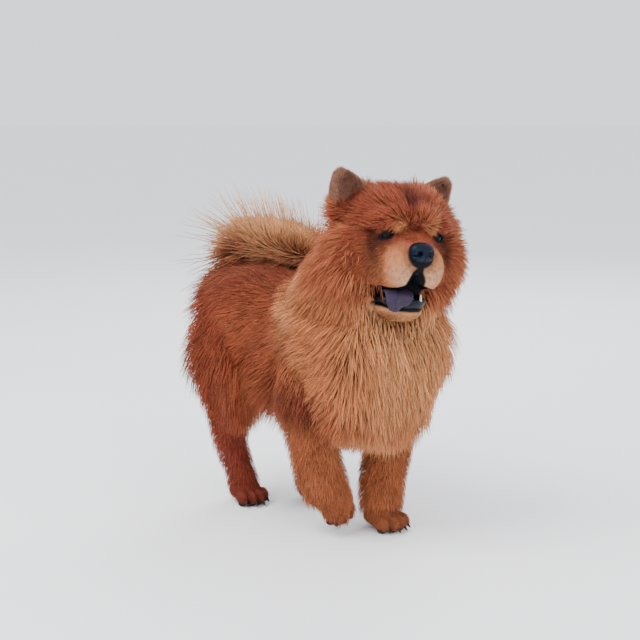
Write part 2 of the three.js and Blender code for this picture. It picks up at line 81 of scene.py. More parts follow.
# Centres of the skull and of the lower jaw, and centre and radii of the open mouth, in that frame
SKULL, JAW = (-34, 0, 19), (8, 0, -121)
MOUTH = ((23, 0, -93), (51, 56, 25))
FRONT, LEFT, UP = np.eye(3)
TURN = 2 * math.pi


def turning(roll=0.0, pitch=0.0, yaw=0.0):
    """Rotation about X, then Y, then Z, as a 3 by 3 matrix."""
    return np.array(Matrix.Rotation(yaw, 3, "Z") @ Matrix.Rotation(pitch, 3, "Y") @ Matrix.Rotation(roll, 3, "X"))


HEAD_AXES = turning(HEAD_ROLL, 0.0, HEAD_TURN)


def from_head(p):
    """Head frame to dog frame: turn, then add the head's centre."""
    return p @ HEAD_AXES.T + HEAD_CENTRE


def to_head(p):
    """Dog frame to head frame."""
    return (p - HEAD_CENTRE) @ HEAD_AXES


# From the dog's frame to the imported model's, in metres: the left eye has one place in both
EYE_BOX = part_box("eye_left")
SHIFT = np.array((EYE_BOX[0] + EYE_BOX[1]) / 2) - from_head(EYE[None])[0] / 1000

# The coat's limits: the solids' box, and a little more for stray hair
LOWEST, HIGHEST = (1000 * (np.array(corner) - SHIFT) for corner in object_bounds())
LOWEST, HIGHEST = LOWEST - (25, 17, 0), HIGHEST + (25, 17, 25)


# Small helpers

def unit(v):
    """Each row divided by its length."""
    return v / np.maximum(np.linalg.norm(v, axis=-1, keepdims=True), 1e-9)


def dot(a, b):
    """Dot product of the vectors in the last axis."""
    return (a * b).sum(-1)


def ramp(x, low, high):
    """Smooth step: 0 below low, 1 above high, 3s^2 - 2s^3 between."""
    s = np.clip((x - low) / (high - low), 0, 1)
    return s * s * (3 - 2 * s)


def near(p, centre, sizes):
    """Gaussian hump of the given half-sizes round a centre."""
    return np.exp(-(((p - centre) / sizes) ** 2).sum(-1))


def level(p, centre, radii, turn=None):
    """Level of an ellipsoid: below 1 inside, 1 on its surface."""
    q = p - centre
    if turn is not None:
        q = q @ turn
    return np.sqrt(((q / radii) ** 2).sum(-1))


def ripple(p, size, seed):
    """Smooth noise between -1 and 1: a sum of six sine waves of about the given wavelength."""
    draw = np.random.default_rng(seed)
    total = np.zeros(len(p))
    for _ in range(6):
        way = unit(draw.normal(size=3)) * 2 * math.pi / (size * draw.uniform(0.7, 1.5))
        total += np.sin(p @ way + draw.uniform(0, 6.3))
    return total / 3.2


def hex_parts(text):
    """Red, green and blue of a hex colour, from 0 to 1."""
    return [int(text[i:i + 2], 16) / 255 for i in (1, 3, 5)]


def linear(colour):
    """Linear red, green and blue of an sRGB colour, given in hex or by the property that holds it."""
    c = np.array(hex_parts(colour) if isinstance(colour, str) else colour[:3])
    return np.where(c <= 0.04045, c / 12.92, ((c + 0.055) / 1.055) ** 2.4)


def rgba(text):
    """A hex colour as the linear value of a colour socket."""
    return (*linear(text), 1)


def mix(a, b, k):
    """Blend of colours a and b by k, row by row."""
    return a + (b - a) * np.asarray(k)[..., None]


# Meshes

def put_mesh(name, co, faces, material=None, colour=None, place=True):
    """A smooth mesh object from points (n, 3) and faces, a list of polygons or an (m, 3) array.

    The points are millimetres of the dog frame, or with place=False they are taken as they are.
    """
    mesh = bpy.data.meshes.new(name)
    co = np.asarray(co, float)
    placed = co / 1000 + SHIFT if place else co
    if isinstance(faces, np.ndarray):
        count = len(faces)
        mesh.vertices.add(len(co))
        mesh.vertices.foreach_set("co", placed.astype(np.float32).ravel())
        mesh.loops.add(count * 3)
        mesh.loops.foreach_set("vertex_index", faces.astype(np.int32).ravel())
        mesh.polygons.add(count)
        mesh.polygons.foreach_set("loop_start", np.arange(0, count * 3, 3, dtype=np.int32))
        mesh.update(calc_edges=True)
    else:
        mesh.from_pydata(placed.tolist(), [], faces)
        mesh.update()
    mesh.polygons.foreach_set("use_smooth", np.full(len(mesh.polygons), True))
    if colour is not None:
        paint(mesh, colour)
    if material is not None:
        mesh.materials.append(material)
    obj = bpy.data.objects.new(name, mesh)
    bpy.context.scene.collection.objects.link(obj)
    return obj


def paint(mesh, colour):
    """Stores a linear colour for each vertex as the attribute coat_colour."""
    layer = mesh.color_attributes.new("coat_colour", "FLOAT_COLOR", "POINT")
    rgba = np.ones((len(mesh.vertices), 4), np.float32)
    rgba[:, :3] = colour
    layer.data.foreach_set("color", rgba.ravel())


def join(parts):
    """One list of points and one of faces from several."""
    co, faces, start = [], [], 0
    for points, polygons in parts:
        co.append(points)
        faces += [tuple(i + start for i in f) for f in polygons]
        start += len(points)
    return np.concatenate(co), faces


def close_grid(rings, first, last):
    """Closed surface over rings of points (k, s, 3), with a pole point at each end."""
    k, s = rings.shape[:2]
    co = np.concatenate([rings.reshape(-1, 3), [first, last]])
    i, j = np.meshgrid(np.arange(k - 1), np.arange(s), indexing="ij")
    a, b = i * s + j, i * s + (j + 1) % s
    quads = np.stack([a, b, b + s, a + s], -1).reshape(-1, 4).tolist()
    ends = [(k * s, (j + 1) % s, j) for j in range(s)]
    ends += [(k * s + 1, (k - 1) * s + j, (k - 1) * s + (j + 1) % s) for j in range(s)]
    return co, [tuple(q) for q in quads] + ends


def angles(count):
    """Angles evenly round a full turn."""
    return np.linspace(0, TURN, count, endpoint=False)


def ball(around, along):
    """Directions (sin v cos u, sin v sin u, -cos v) over the unit sphere, without its poles."""
    v, u = np.linspace(0, math.pi, along + 1)[1:-1, None], angles(around)[None]
    return np.stack([np.sin(v) * np.cos(u), np.sin(v) * np.sin(u), -np.cos(v) + 0 * u], -1)


def egg(centre, radii, roll=0.0, pitch=0.0, yaw=0.0, inset=0.0, around=32, along=20):
    """Ellipsoid: centre + turn * (radii less inset) * point of the unit sphere, poles on its Z."""
    r = np.asarray(radii, float) - inset
    turn = turning(roll, pitch, yaw)
    poles = [np.asarray(centre) + turn @ (r * [0, 0, z]) for z in (-1, 1)]
    return close_grid(ball(around, along) * r @ turn.T + centre, *poles)


def tube(middle, side, up, radius, wide, tall, count):
    """Rings round a path: middle + radius * (wide * cos b * side + tall * sin b * up)."""
    b = angles(count)[None, :, None]
    return middle[:, None] + radius[:, None, None] * (
        side[:, None] * np.cos(b) * wide + up[:, None] * np.sin(b) * tall)


def through(points, t):
    """Catmull-Rom curve through rows of numbers, at parameters t from 0 to 1."""
    p = np.vstack([2 * points[0] - points[1], points, 2 * points[-1] - points[-2]])
    x = np.clip(t * (len(points) - 1), 0, len(points) - 1.000001)
    i = x.astype(int)
    f = (x - i)[:, None]
    a, b, c, d = p[i], p[i + 1], p[i + 2], p[i + 3]
    return 0.5 * (2 * b + (c - a) * f + (2 * a - 5 * b + 4 * c - d) * f ** 2 + (3 * b - a - 3 * c + d) * f ** 3)


STATIONS = 48


class Limb:
    """A round limb: superellipses carried along a smooth curve, with domed ends.

    Each station gives a centre, a half-width, and the reach on the upper (or front) side
    and on the lower (or back) side.
    """

    def __init__(self, stations, domes=(20, 20), square=2.3, count=STATIONS):
        rows = through(np.asarray(stations, float), np.linspace(0, 1, count))
        self.centre, self.reach = rows[:, :3], rows[:, 3:]
        self.along = unit(np.gradient(self.centre, axis=0))
        self.side = unit(LEFT - self.along * self.along[:, 1:2])
        self.up = np.cross(self.along, self.side)
        self.domes, self.square = domes, square

    def shell(self, inset=0.0, inset_end=None, sides=36):
        """Closed surface: side * c * r + up * s * r, with c and s scaled onto the superellipse."""
        n = len(self.centre)
        depth = np.linspace(inset, inset if inset_end is None else inset_end, n)
        # Latitudes of the rings on each dome, from its pole
        over = np.array([0.9, 0.7, 0.45, 0.2]) * math.pi / 2
        row = np.concatenate([np.zeros(4, int), np.arange(n), np.full(4, n - 1)])
        scale = np.concatenate([np.cos(over), np.ones(n), np.cos(over[::-1])])
        head, foot = self.domes[0] - depth[0], self.domes[1] - depth[-1]
        shift = np.concatenate([-head * np.sin(over), np.zeros(n), foot * np.sin(over[::-1])])
        c, s = np.cos(angles(sides)), np.sin(angles(sides))
        full = (np.abs(c) ** self.square + np.abs(s) ** self.square) ** (-1 / self.square)
        r = np.maximum(self.reach[row] - depth[row, None], 2.0) * scale[:, None]
        wide = r[:, :1] * (c * full)
        tall = np.where(s > 0, r[:, 1:2], r[:, 2:3]) * (s * full)
        middle = self.centre[row] + self.along[row] * shift[:, None]
        rings = middle[:, None] + self.side[row][:, None] * wide[..., None]
        rings = rings + self.up[row][:, None] * tall[..., None]
        first = self.centre[0] - self.along[0] * head
        last = self.centre[-1] + self.along[-1] * foot
        return close_grid(rings, first, last)

    def measure(self, p):
        """For points p: place along from 0 to 1, angle round, and level (1 on the surface)."""
        gap = p[:, None] - self.centre[None]
        k = np.argmin((gap ** 2).sum(-1), 1)
        last = len(self.centre) - 1
        q = p - self.centre[k]
        ahead = dot(q, self.along[k])
        x, y = dot(q, self.side[k]), dot(q, self.up[k])
        r = self.reach[k]
        tall = np.where(y > 0, r[:, 1], r[:, 2])
        # Beyond either end, the height on its dome
        z = ahead / (np.where(k == 0, *self.domes) + 1e-6) * ((k == 0) | (k == last))
        full = (np.abs(x / r[:, 0]) ** self.square + np.abs(y / tall) ** self.square) ** (1 / self.square)
        return k / last, np.arctan2(y, x), np.hypot(full, z)

    def station(self, share):
        """Index of the station at a share of the way along."""
        return (share * (len(self.centre) - 1)).astype(int)


# The body, with the same stations as the solids

TRUNK = Limb([
    (-222, 0, 392, 116, 82, 92), (-150, 0, 388, 148, 104, 116), (-60, 0, 376, 147, 110, 122),
    (40, 0, 364, 149, 124, 142), (130, 0, 350, 152, 148, 162), (205, 0, 345, 130, 130, 142),
], (48, 48))
NECK = Limb([
    (96, 0, 400, 130, 110, 150), (138, -2, 446, 130, 110, 136),
    (176, -6, 494, 124, 104, 108), (200, -8, 536, 112, 88, 74),
], (30, 34))
TAIL = Limb([
    (-232, 4, 448, 36, 32, 36), (-248, 8, 496, 44, 32, 40), (-212, 14, 533, 50, 28, 44),
    (-145, 20, 535, 54, 26, 48), (-78, 22, 524, 46, 22, 38), (-34, 20, 512, 26, 14, 24),
], (16, 12), 2)
TAIL_CORE = Limb([
    (-232, 4, 448, 36, 24, 40), (-248, 8, 496, 44, 22, 44), (-212, 14, 533, 50, 18, 50),
    (-145, 20, 535, 54, 16, 54), (-78, 22, 524, 46, 14, 44), (-34, 20, 512, 26, 12, 28),
], (16, 12), 2)
FORE_LEFT = Limb([
    (118, 88, 330, 58, 80, 70), (122, 84, 235, 54, 58, 56), (128, 66, 160, 49, 50, 50),
    (130, 50, 95, 43, 44, 44), (134, 42, 38, 38, 38, 38),
], (30, 16))
FORE_RIGHT = Limb([
    (92, -96, 330, 58, 80, 70), (84, -96, 250, 54, 60, 56), (82, -86, 190, 49, 50, 50),
    (88, -74, 130, 46, 46, 44), (98, -62, 84, 44, 36, 36),
], (30, 22))


def hind(step, m):
    """A hind leg, set forward by its step: the thigh moves least and the foot most."""
    return Limb([
        (-178 + step * 0.1, 84 * m, 400, 58, 84, 78), (-166 + step * 0.35, 96 * m, 300, 62, 88, 92),
        (-172 + step * 0.7, 88 * m, 215, 50, 62, 66), (-188 + step * 0.9, 72 * m, 130, 37, 40, 44),
        (-178 + step, 60 * m, 72, 31, 31, 32), (-168 + step, 54 * m, 36, 30, 30, 30),
    ], (30, 14))


HIND_LEFT, HIND_RIGHT = hind(80, 1), hind(0, -1)
EARS = [Limb([
    (-54, 70 * m, 40, 42, 19, 18), (-50, 86 * m, 66, 37, 15, 15),
    (-46, 100 * m, 86, 27, 11, 12), (-42, 111 * m, 101, 14, 7, 8),
], (6, 6), 2, 24) for m in (1, -1)]
EAR_CUPS = [Limb([
    (-36, 78 * m, 54, 25, 14, 6), (-36, 88 * m, 74, 22, 12, 5), (-35, 102 * m, 92, 12, 8, 3),
], (5, 5), 2, 16) for m in (1, -1)]
TONGUE = Limb([
    (-8, -4, -97, 23, 6, 6), (30, -16, -91, 27, 6, 6), (54, -28, -94, 27, 5, 5),
    (63, -36, -105, 21, 4, 4), (63, -39, -118, 11, 3, 3),
], (6, 5), 2, 60)
# Paws: floor point under the paw's body, turn in radians, and size; the bent one is lifted
PAWS = {
    "fore_left": ((134, 40, 0), 0.05, 1.0), "hind_left": ((-86, 54, 0), 0.1, 0.94),
    "hind_right": ((-166, -57, 0), -0.05, 0.94), "fore_right": ((104, -52, 22), 0.1, 1.0),
}
BENT = "fore_right"


def place_paw(name, shape, lowest):
    """A piece of a paw moved from the paw's own frame, and cut level at its lowest height."""
    middle, turn, _ = PAWS[name]
    points = shape[0] @ turning(yaw=turn).T + middle
    points[:, 2] = np.maximum(points[:, 2], lowest)
    return points, shape[1]


def toes(name):
    """For each toe its place across the paw, and 1 for the two that lead or 0 for the outer two."""
    spread = 17 if name == BENT else 18 * PAWS[name][2]
    return [((i - 1.5) * spread, lead) for i, lead in enumerate((0, 1, 1, 0))]


def paw_parts(name):
    """Centre, radii and pitch of the paw's body and of each toe, in the paw's own frame."""
    size = PAWS[name][2]
    if name == BENT:
        return [((0, 0, 46), (33, 38, 42), -0.25)] + [
            ((12 + 2 * lead, y, 25 - 7 * lead), (18, 11, 21), -0.2) for y, lead in toes(name)]
    return [((0, 0, 24), (38 * size, 36 * size, 26), 0.0)] + [
        (((27 + 10 * lead) * size, y, 17), (22 * size, 11.5 * size, 18), 0.0) for y, lead in toes(name)]


def eye_slit(m):
    """Centre and roll of the slit between the lids, with m 1 for the left eye and -1 for the right."""
    return (EYE[0] + 12, EYE[1] * m + 2 * m, EYE[2] - 1), -0.42 * m


def skull_parts(crown):
    """Ellipsoids of the head under its coat, fused into one form; crown is the coat's depth there."""
    d = crown - 1
    # Skull, forehead, bridge and end of the muzzle
    parts = [
        (SKULL, (80 - d, 102 - d, 79 - d), 0, 0, 0), ((-8, 0, 10), (46, 76, 53), 0, 0, 0),
        ((34, 0, -22), (41, 45, 40), 0, 0, 0), ((52, 0, -30), (28, 36, 28), 0, 0, 0),
    ]
    # On each side: cheek, jowl, brow near the middle, outer brow, flews, pouch below the eye, lids
    for m in (1, -1):
        parts += [
            ((-12, 52 * m, -38), (50, 50, 54), 0, 0, 0),
            ((12, 45 * m, -50), (42, 31, 38), 0, 0, 0),
            ((30, 27 * m, 31), (20, 22, 14), -0.35 * m, 0.5, 0),
            ((22, 48 * m, 27), (20, 25, 12), -0.35 * m, 0.2, 0),
            ((38, 31 * m, -48), (37, 33, 42), 0, 0, -0.12 * m),
            ((20, 55 * m, -10), (19, 20, 12), -0.3 * m, 0, 0),
            ((EYE[0], EYE[1] * m, EYE[2]), (16, 18, 14.5), 0, 0, 0),
        ]
    return [egg(c, r, roll, pitch, yaw) for c, r, roll, pitch, yaw in parts]


def evaluated(obj):
    """The object's mesh with its modifiers applied, and the object removed."""
    graph = bpy.context.evaluated_depsgraph_get()
    mesh = bpy.data.meshes.new_from_object(obj.evaluated_get(graph))
    bpy.data.objects.remove(obj)
    return mesh


def moulded(parts, voxel, rounds, cuts=()):
    """One smooth closed surface over overlapping solids: they are fused on a grid, hollows are
    cut out of it, and it is fused and smoothed again. Returns points (mm) and triangles."""
    obj = put_mesh("mould", *join(parts), place=False)

    def modifier(kind, **settings):
        """Adds a modifier with its settings."""
        m = obj.modifiers.new(kind, kind)
        for key, value in settings.items():
            setattr(m, key, value)

    modifier("REMESH", mode="VOXEL", voxel_size=voxel)
    modifier("SMOOTH", factor=0.6, iterations=rounds)
    tools = [put_mesh("cut", *cut, place=False) for cut in cuts]
    for tool in tools:
        modifier("BOOLEAN", operation="DIFFERENCE", solver="EXACT", object=tool)
    if tools:
        modifier("REMESH", mode="VOXEL", voxel_size=voxel)
        modifier("SMOOTH", factor=0.5, iterations=2)
    mesh = evaluated(obj)
    for tool in tools:
        bpy.data.objects.remove(tool)
    mesh.calc_loop_triangles()
    co = np.empty(len(mesh.vertices) * 3, np.float32)
    mesh.vertices.foreach_get("co", co)
    tri = np.empty(len(mesh.loop_triangles) * 3, np.int32)
    mesh.loop_triangles.foreach_get("vertices", tri)
    bpy.data.meshes.remove(mesh)
    return co.reshape(-1, 3).astype(float), tri.reshape(-1, 3)


def normals_of(co, tri):
    """Vertex normals: the area-weighted mean of the normals of the triangles round each vertex."""
    face = np.cross(co[tri[:, 1]] - co[tri[:, 0]], co[tri[:, 2]] - co[tri[:, 0]])
    total = np.zeros_like(co)
    for corner in range(3):
        for axis in range(3):
            total[:, axis] += np.bincount(tri[:, corner], face[:, axis], len(co))
    return unit(total)


def smooth_over(values, tri, rounds):
    """Each vertex's values move to the mean of its own and its neighbours', some rounds."""
    n = len(values)
    a, b = tri.ravel(), np.roll(tri, 1, axis=1).ravel()
    count = 1 + np.bincount(a, minlength=n)
    for _ in range(rounds):
        total = np.stack([np.bincount(a, column[b], n) for column in values.T], 1)
        values = (values + total) / count[:, None]
    return values


# Coat colour with painted shade: one function of the place, for the skin and for the root of each tuft

def coat_with_shade(p, colours, skin=True):
    """Linear colour of the coat at points p of the dog frame; on skin, with its bare dark parts.

    It starts as russet, and one patch after another is blended in. The share of each patch is
    a product of ramps along the dog's axes, or a hump round a centre. Most patches are the coat's
    own colours; some are painted shade: in the folds at the elbows, and on the head in the
    forehead groove, round the eyes, down the cheek creases and in the ear cups.
    """
    c = {key: linear(getattr(colours, key)) for key in ChowColours.__annotations__}
    h = to_head(p)
    x, y, z = p.T
    inward = -np.abs(y)
    out = np.tile(c["russet"], (len(p), 1))
    # Saddle behind the withers and along the back
    saddle = ramp(z, 400, 470) * ramp(-x, -60, 20)
    out = mix(out, c["deep"], 0.6 * saddle)
    out = mix(out, c["red"], 0.5 * ramp(-x, 60, 160) * (1 - saddle))
    # Mane with its pale fringe, bib, belly, and painted shade in the folds at the elbows, under the mane
    mane = ramp(x, 30, 120) * ramp(z, 250, 330)
    out = mix(out, c["gold"], 0.5 * mane)
    fringe = np.exp(-(((x - 84) / 34) ** 2)) * ramp(z, 350, 430)
    out = mix(out, c["cream"], 0.45 * fringe)
    bib = ramp(x, 160, 230) * ramp(z, 230, 300) * (1 - ramp(z, 480, 520)) * ramp(inward, -125, -50)
    out = mix(out, c["cream"], 0.75 * bib)
    belly = (1 - ramp(z, 215, 270)) * ramp(inward, -95, -50) * ramp(z, 120, 200)
    out = mix(out, c["cream"], 0.8 * belly)
    # Painted shade: the coat is darkened where the forelegs meet the chest under the mane
    elbow = ramp(z, 190, 240) * (1 - ramp(z, 285, 335)) * ramp(x, 10, 50) * (1 - ramp(x, 135, 175))
    out = mix(out, c["deep"], 0.6 * elbow)
    # Legs: the hind ones pale inside, gold behind and red below, the front ones gold, and all darker towards the
    # floor
    inner = ramp(inward, -80, -45) * ramp(z, 150, 230) * (1 - ramp(z, 290, 350))
    out = mix(out, c["gold"], 0.45 * (inner * ramp(-x, 20, 90) * ramp(x, -225, -190)))
    behind = ramp(-x, 215, 255) * (1 - ramp(z, 300, 380))
    out = mix(out, c["gold"], 0.5 * behind)
    out = mix(out, c["red"], 0.6 * (1 - ramp(z, 120, 200)) * ramp(-x, -20, 20))
    out = mix(out, c["gold"], 0.35 * (1 - ramp(z, 180, 260)) * ramp(x, 20, 60))
    out = mix(out, c["dark"], 0.35 * (1 - ramp(z, 15, 60)))
    # Tail: between gold and cream on its outer and rear hair
    _, angle, reach = TAIL.measure(p)
    tail = (1 - ramp(reach, 0.95, 1.1)) * np.maximum(ramp(z, 490, 525), ramp(-x, 240, 262))
    tail *= np.maximum(ramp(np.sin(angle), -0.6, 0.1), ramp(-x, 230, 250))
    out = mix(out, mix(c["gold"][None], c["cream"], [0.65]), 0.9 * tail)
    head = ramp(-level(h, (-20, 0, -5), (120, 125, 120)), -1.08, -0.92) * ramp(z, 400, 440)
    out = mix(out, head_with_shade(h, c), np.maximum(head, ear_share(h)))
    # Bare dark skin: nose leather, lips, rims of the eyes
    return mix(out, linear("#100f16"), bare(h) * ramp(z, 380, 420)) if skin else out


def head_with_shade(h, c):
    """Linear colour of the head's coat at points h of the head frame, blended as on the body, painted shade
    included.
    """
    ahead, side, below = h[:, 0], np.abs(h[:, 1]), -h[:, 2]
    face = mix(np.tile(c["red"], (len(h), 1)), c["deep"], 0.3 * ramp(h[:, 2], 20, 60))
    face = mix(face, c["russet"], 0.25 + 0.25 * ramp(side, 50, 100))
    face = mix(face, c["gold"], 0.06 * (1 + ripple(h, 30, 12)))
    # Painted shade in the groove of the forehead; pips over the eyes and cheeks, bridge of the nose
    face = mix(face, c["dark"], 0.9 * near(h, (30, 0, 48), (60, 8, 28)))
    for m in (1, -1):
        face = mix(face, c["gold"], 0.95 * near(h, (44, 28 * m, 22), (26, 12, 10)))
        face = mix(face, c["gold"], 0.55 * near(h, (30, 50 * m, -46), (44, 24, 32)))
    face = mix(face, c["russet"], 0.6 * near(h, (62, 0, 6), (26, 24, 16)))
    # Muzzle, paler to its end and palest at the lips
    muzzle = ramp(ahead - 0.4 * side, 0, 36) * ramp(below, -6, 30)
    face = mix(face, mix(c["gold"][None], c["russet"], [0.3]), 0.75 * muzzle)
    muzzle = ramp(ahead - 0.4 * side, 24, 68) * ramp(below, 0, 50)
    face = mix(face, c["cream"], 0.36 * muzzle)
    lips = ramp(ahead - 0.2 * side, 44, 68) * ramp(below, 30, 80)
    face = mix(face, c["pale"], 0.5 * lips)
    for m in (1, -1):
        # Painted shade over darker hair: in the hollow round the eye and in the crease from its outer corner down
        # to the mouth
        folds = [(0.85, (32, 58 * m, -2), (22, 17, 11)), (0.6, (30, 68 * m, -14), (18, 9, 16))]
        folds += [(0.42, (30 - 2.2 * k, (68 - 0.6 * k) * m, -14 - 8 * k), (26, 4.5 + 0.5 * k, 8))
                  for k in range(7)]
        # Whisker roots in four uneven rows of four on the flews
        for row in range(4):
            for k in range(4):
                across = 20 + 5.4 * k + 2 * math.sin(5 * k + 2 * row)
                height = -39 - 6.8 * row - 1.5 * k + 1.6 * math.sin(7 * k + 3 * row + m)
                folds.append((0.55, (73 - 1.5 * k, across * m, height), (12, 1.6, 1.6)))
        for share, centre, sizes in folds:
            face = mix(face, c["dark"], share * near(h, centre, sizes))
    # Short dark bristles round the nose, gold throat, cream chin, grey ears with darker hair and painted shade in
    # their cups
    bristles = 1 - ramp(level(h, (68, 0, -26), (24, 30, 27)), 1.0, 1.3)
    face = mix(face, c["dark"], 0.4 * bristles * ramp(below, 0, 20))
    face = mix(face, c["gold"], 0.8 * (ramp(below, 84, 112) * ramp(ahead, -60, -20)))
    chin = ramp(ahead, 10, 40) * ramp(below, 112, 126) * ramp(h[:, 2], -160, -140)
    face = mix(face, c["cream"], 0.9 * chin)
    ears = ear_share(h)
    face = mix(face, c["ear"], 0.95 * ears)
    # Painted shade in the hollow cup of each ear, over its darker hair
    cup = np.min([inner.measure(h)[2] for inner in EAR_CUPS], 0)
    face = mix(face, c["dark"], 0.35 * ears * (1 - ramp(cup, 0.9, 1.5)))
    return face * (1 + 0.12 * ripple(h * (1, 2.5, 1), 14, 8) + 0.1 * ears * ripple(h, 6, 9))[:, None]


def bare(h):
    """Share of bare dark skin at points of the head frame: rims of the eyes, lips, mouth, nose."""
    ahead, side, below = h[:, 0], np.abs(h[:, 1]), -h[:, 2]
    shares = []
    for m in (1, -1):
        centre, roll = eye_slit(m)
        shares.append(1 - ramp(level(h, centre, (18, 17.5, 8.6), turning(roll)), 0.85, 1.15))
    shares.append((1 - ramp(level(h, *MOUTH), 1.03, 1.1)) * ramp(ahead, -30, -20))
    # Rim of the lower jaw, higher at the sides
    rim = -125 + 6 * ramp(side, 20, 46)
    edge = 1 - ramp(level(h, JAW, (52, 51, 24)), 1.02, 1.08)
    shares.append(ramp(h[:, 2] - rim, -2, 3) * edge * ramp(ahead, -20, -5))
    shares.append(1 - ramp(level(h, (72, 0, -24), (20, 25, 22)), 0.95, 1.12))
    # Strip from the nose to the lip, wider below
    wide = 5 + 12 * ramp(below, 40, 74)
    strip = (1 - ramp(side - wide, 0, 4)) * ramp(below, 24, 34) * (1 - ramp(below, 84, 92))
    return np.max([*shares, strip * ramp(ahead, 30, 40)], 0)


# Groom of each skin vertex, in seven columns: the way the hair lies (3), its length in mm, its
# lift at the root in radians, its density, and its hug, by which it bends back to the skin

def sum_of(*pairs):
    """Weighted sum of directions, each weight one number per row."""
    return sum(np.asarray(k)[..., None] * np.asarray(v, float) for v, k in pairs)


BODY, MANE, FORE, HIND, PLUME, HEAD, PAW = range(7)


def groom_body(p, n):
    """Groom of the body shell. Columns: lie (3), length, lift, density, hug; and the region."""
    found = [limb.measure(p) for limb in (TRUNK, NECK, FORE_LEFT, FORE_RIGHT, HIND_LEFT, HIND_RIGHT, TAIL)]
    which = np.argmin([f[2] for f in found], 0)
    region = np.array([BODY, MANE, FORE, FORE, HIND, HIND, PLUME])[which]
    x, y, z = p.T
    nx, _, nz = n.T
    one = np.ones(len(p))
    groom = np.zeros((len(p), 7))

    def put(mask, way, *columns):
        """Sets the lie, and the length, lift, density and hug, of the masked rows."""
        groom[mask, :3] = way[mask]
        for k, column in enumerate(columns):
            groom[mask, 3 + k] = (column * one)[mask]

    # Trunk: back and down along the sides, down at the chest, below and behind
    front = ramp(x, 120, 220) * ramp(nx, 0.1, 0.6)
    low = ramp(-nz, 0.1, 0.8)
    rear = ramp(-x, 170, 240)
    way = sum_of(((-1, 0, -0.5), (1 - front) * (1 - rear)), ((0.1, 0, -1), front), ((-0.3, 0, -1), rear))
    way = way + sum_of(((0, 0, -0.7), low))
    long = 38 + 14 * ramp(x, 0, 110) + 40 * low * (1 - ramp(x, 60, 140)) + 26 * rear * ramp(-nx, 0.2, 0.8)
    long = long + 34 * front * (1 - low)
    hang = low * (1 - ramp(x, 60, 140)) * (1 - ramp(z, 330, 380))
    upper = ramp(-x, 130, 220) * ramp(z, 370, 440)
    far_chest = ramp(y, 40, 95) * (1 - ramp(z, 290, 380))
    long = long + 50 * hang + 20 * low * ramp(x, 60, 140) + 34 * upper - 44 * ramp(x, 90, 160) * far_chest
    put(region == BODY, way, long, 0.85 + 0.05 * front + 0.25 * low, 1, -0.1 - 0.5 * low - 0.25 * upper)
    # Neck: back along it, and down at the throat; none on the chin and shorter under it
    along = NECK.along[NECK.station(found[1][0])]
    throat = ramp(nx, 0.2, 0.7)
    way = sum_of((-along, 1 - 0.8 * throat), ((0, 0, -1), 0.3 + throat))
    put(region == MANE, way, 84 + 4 * throat, 0.85, 0.9, -0.1 - 0.3 * ramp(y, 20, 100))
    h = to_head(p)
    chin = 1 - ramp(level(h, (4, 0, -96), (62, 66, 50)), 1.0, 1.2)
    groom[:, 5] *= 1 - chin
    under_chin = (1 - ramp(level(h, (0, 0, -110), (80, 84, 70)), 1.0, 1.4)) * ramp(region == MANE, 0, 1)
    groom[:, 3] *= 1 - 0.45 * under_chin
    # Legs: down, with feathering behind and on the front of the thighs
    behind = ramp(-nx, 0.1, 0.8)
    thigh = ramp(z, 190, 300)
    way = sum_of(((0, 0, -1), one), ((-1, 0, 0), 0.12 + 0.3 * behind))
    for leg, feather in ((FORE, 0.8), (HIND, 1.15)):
        hair = 24 + 12 * thigh + behind * (20 + 26 * thigh) * feather
        if leg == HIND:
            hair = hair + 46 * ramp(nx, 0.1, 0.6) * ramp(z, 160, 220)
        put(region == leg, way, hair, 0.9 + 0.1 * behind, 1, -0.15)
    # Tail: fanned out from its curl, in a plume
    t = found[6][0]
    turn = np.radians(232 - 195 * t)
    fan = np.stack([np.cos(turn), 0 * turn, np.sin(turn)], 1)
    under = ramp(-nz, 0.2, 0.7) * ramp(t, 0.3, 0.45)
    way = sum_of((fan, 1 - under), (n, 0.35 * one), ((-1, 0, 0), under))
    put(region == PLUME, way, 78 - 34 * ramp(t, 0.3, 0.6) - 6 * under, 0.7, 1.1, -0.12)
    return groom, region


def ear_share(h):
    """1 on the ears, 0 on the skull: above and outside the skull under its coat."""
    out = ramp(level(h, SKULL, (61, 83, 60)), 1.06, 1.16)
    return out * ramp(h[:, 2], 44, 56) * ramp(np.abs(h[:, 1]), 46, 58)


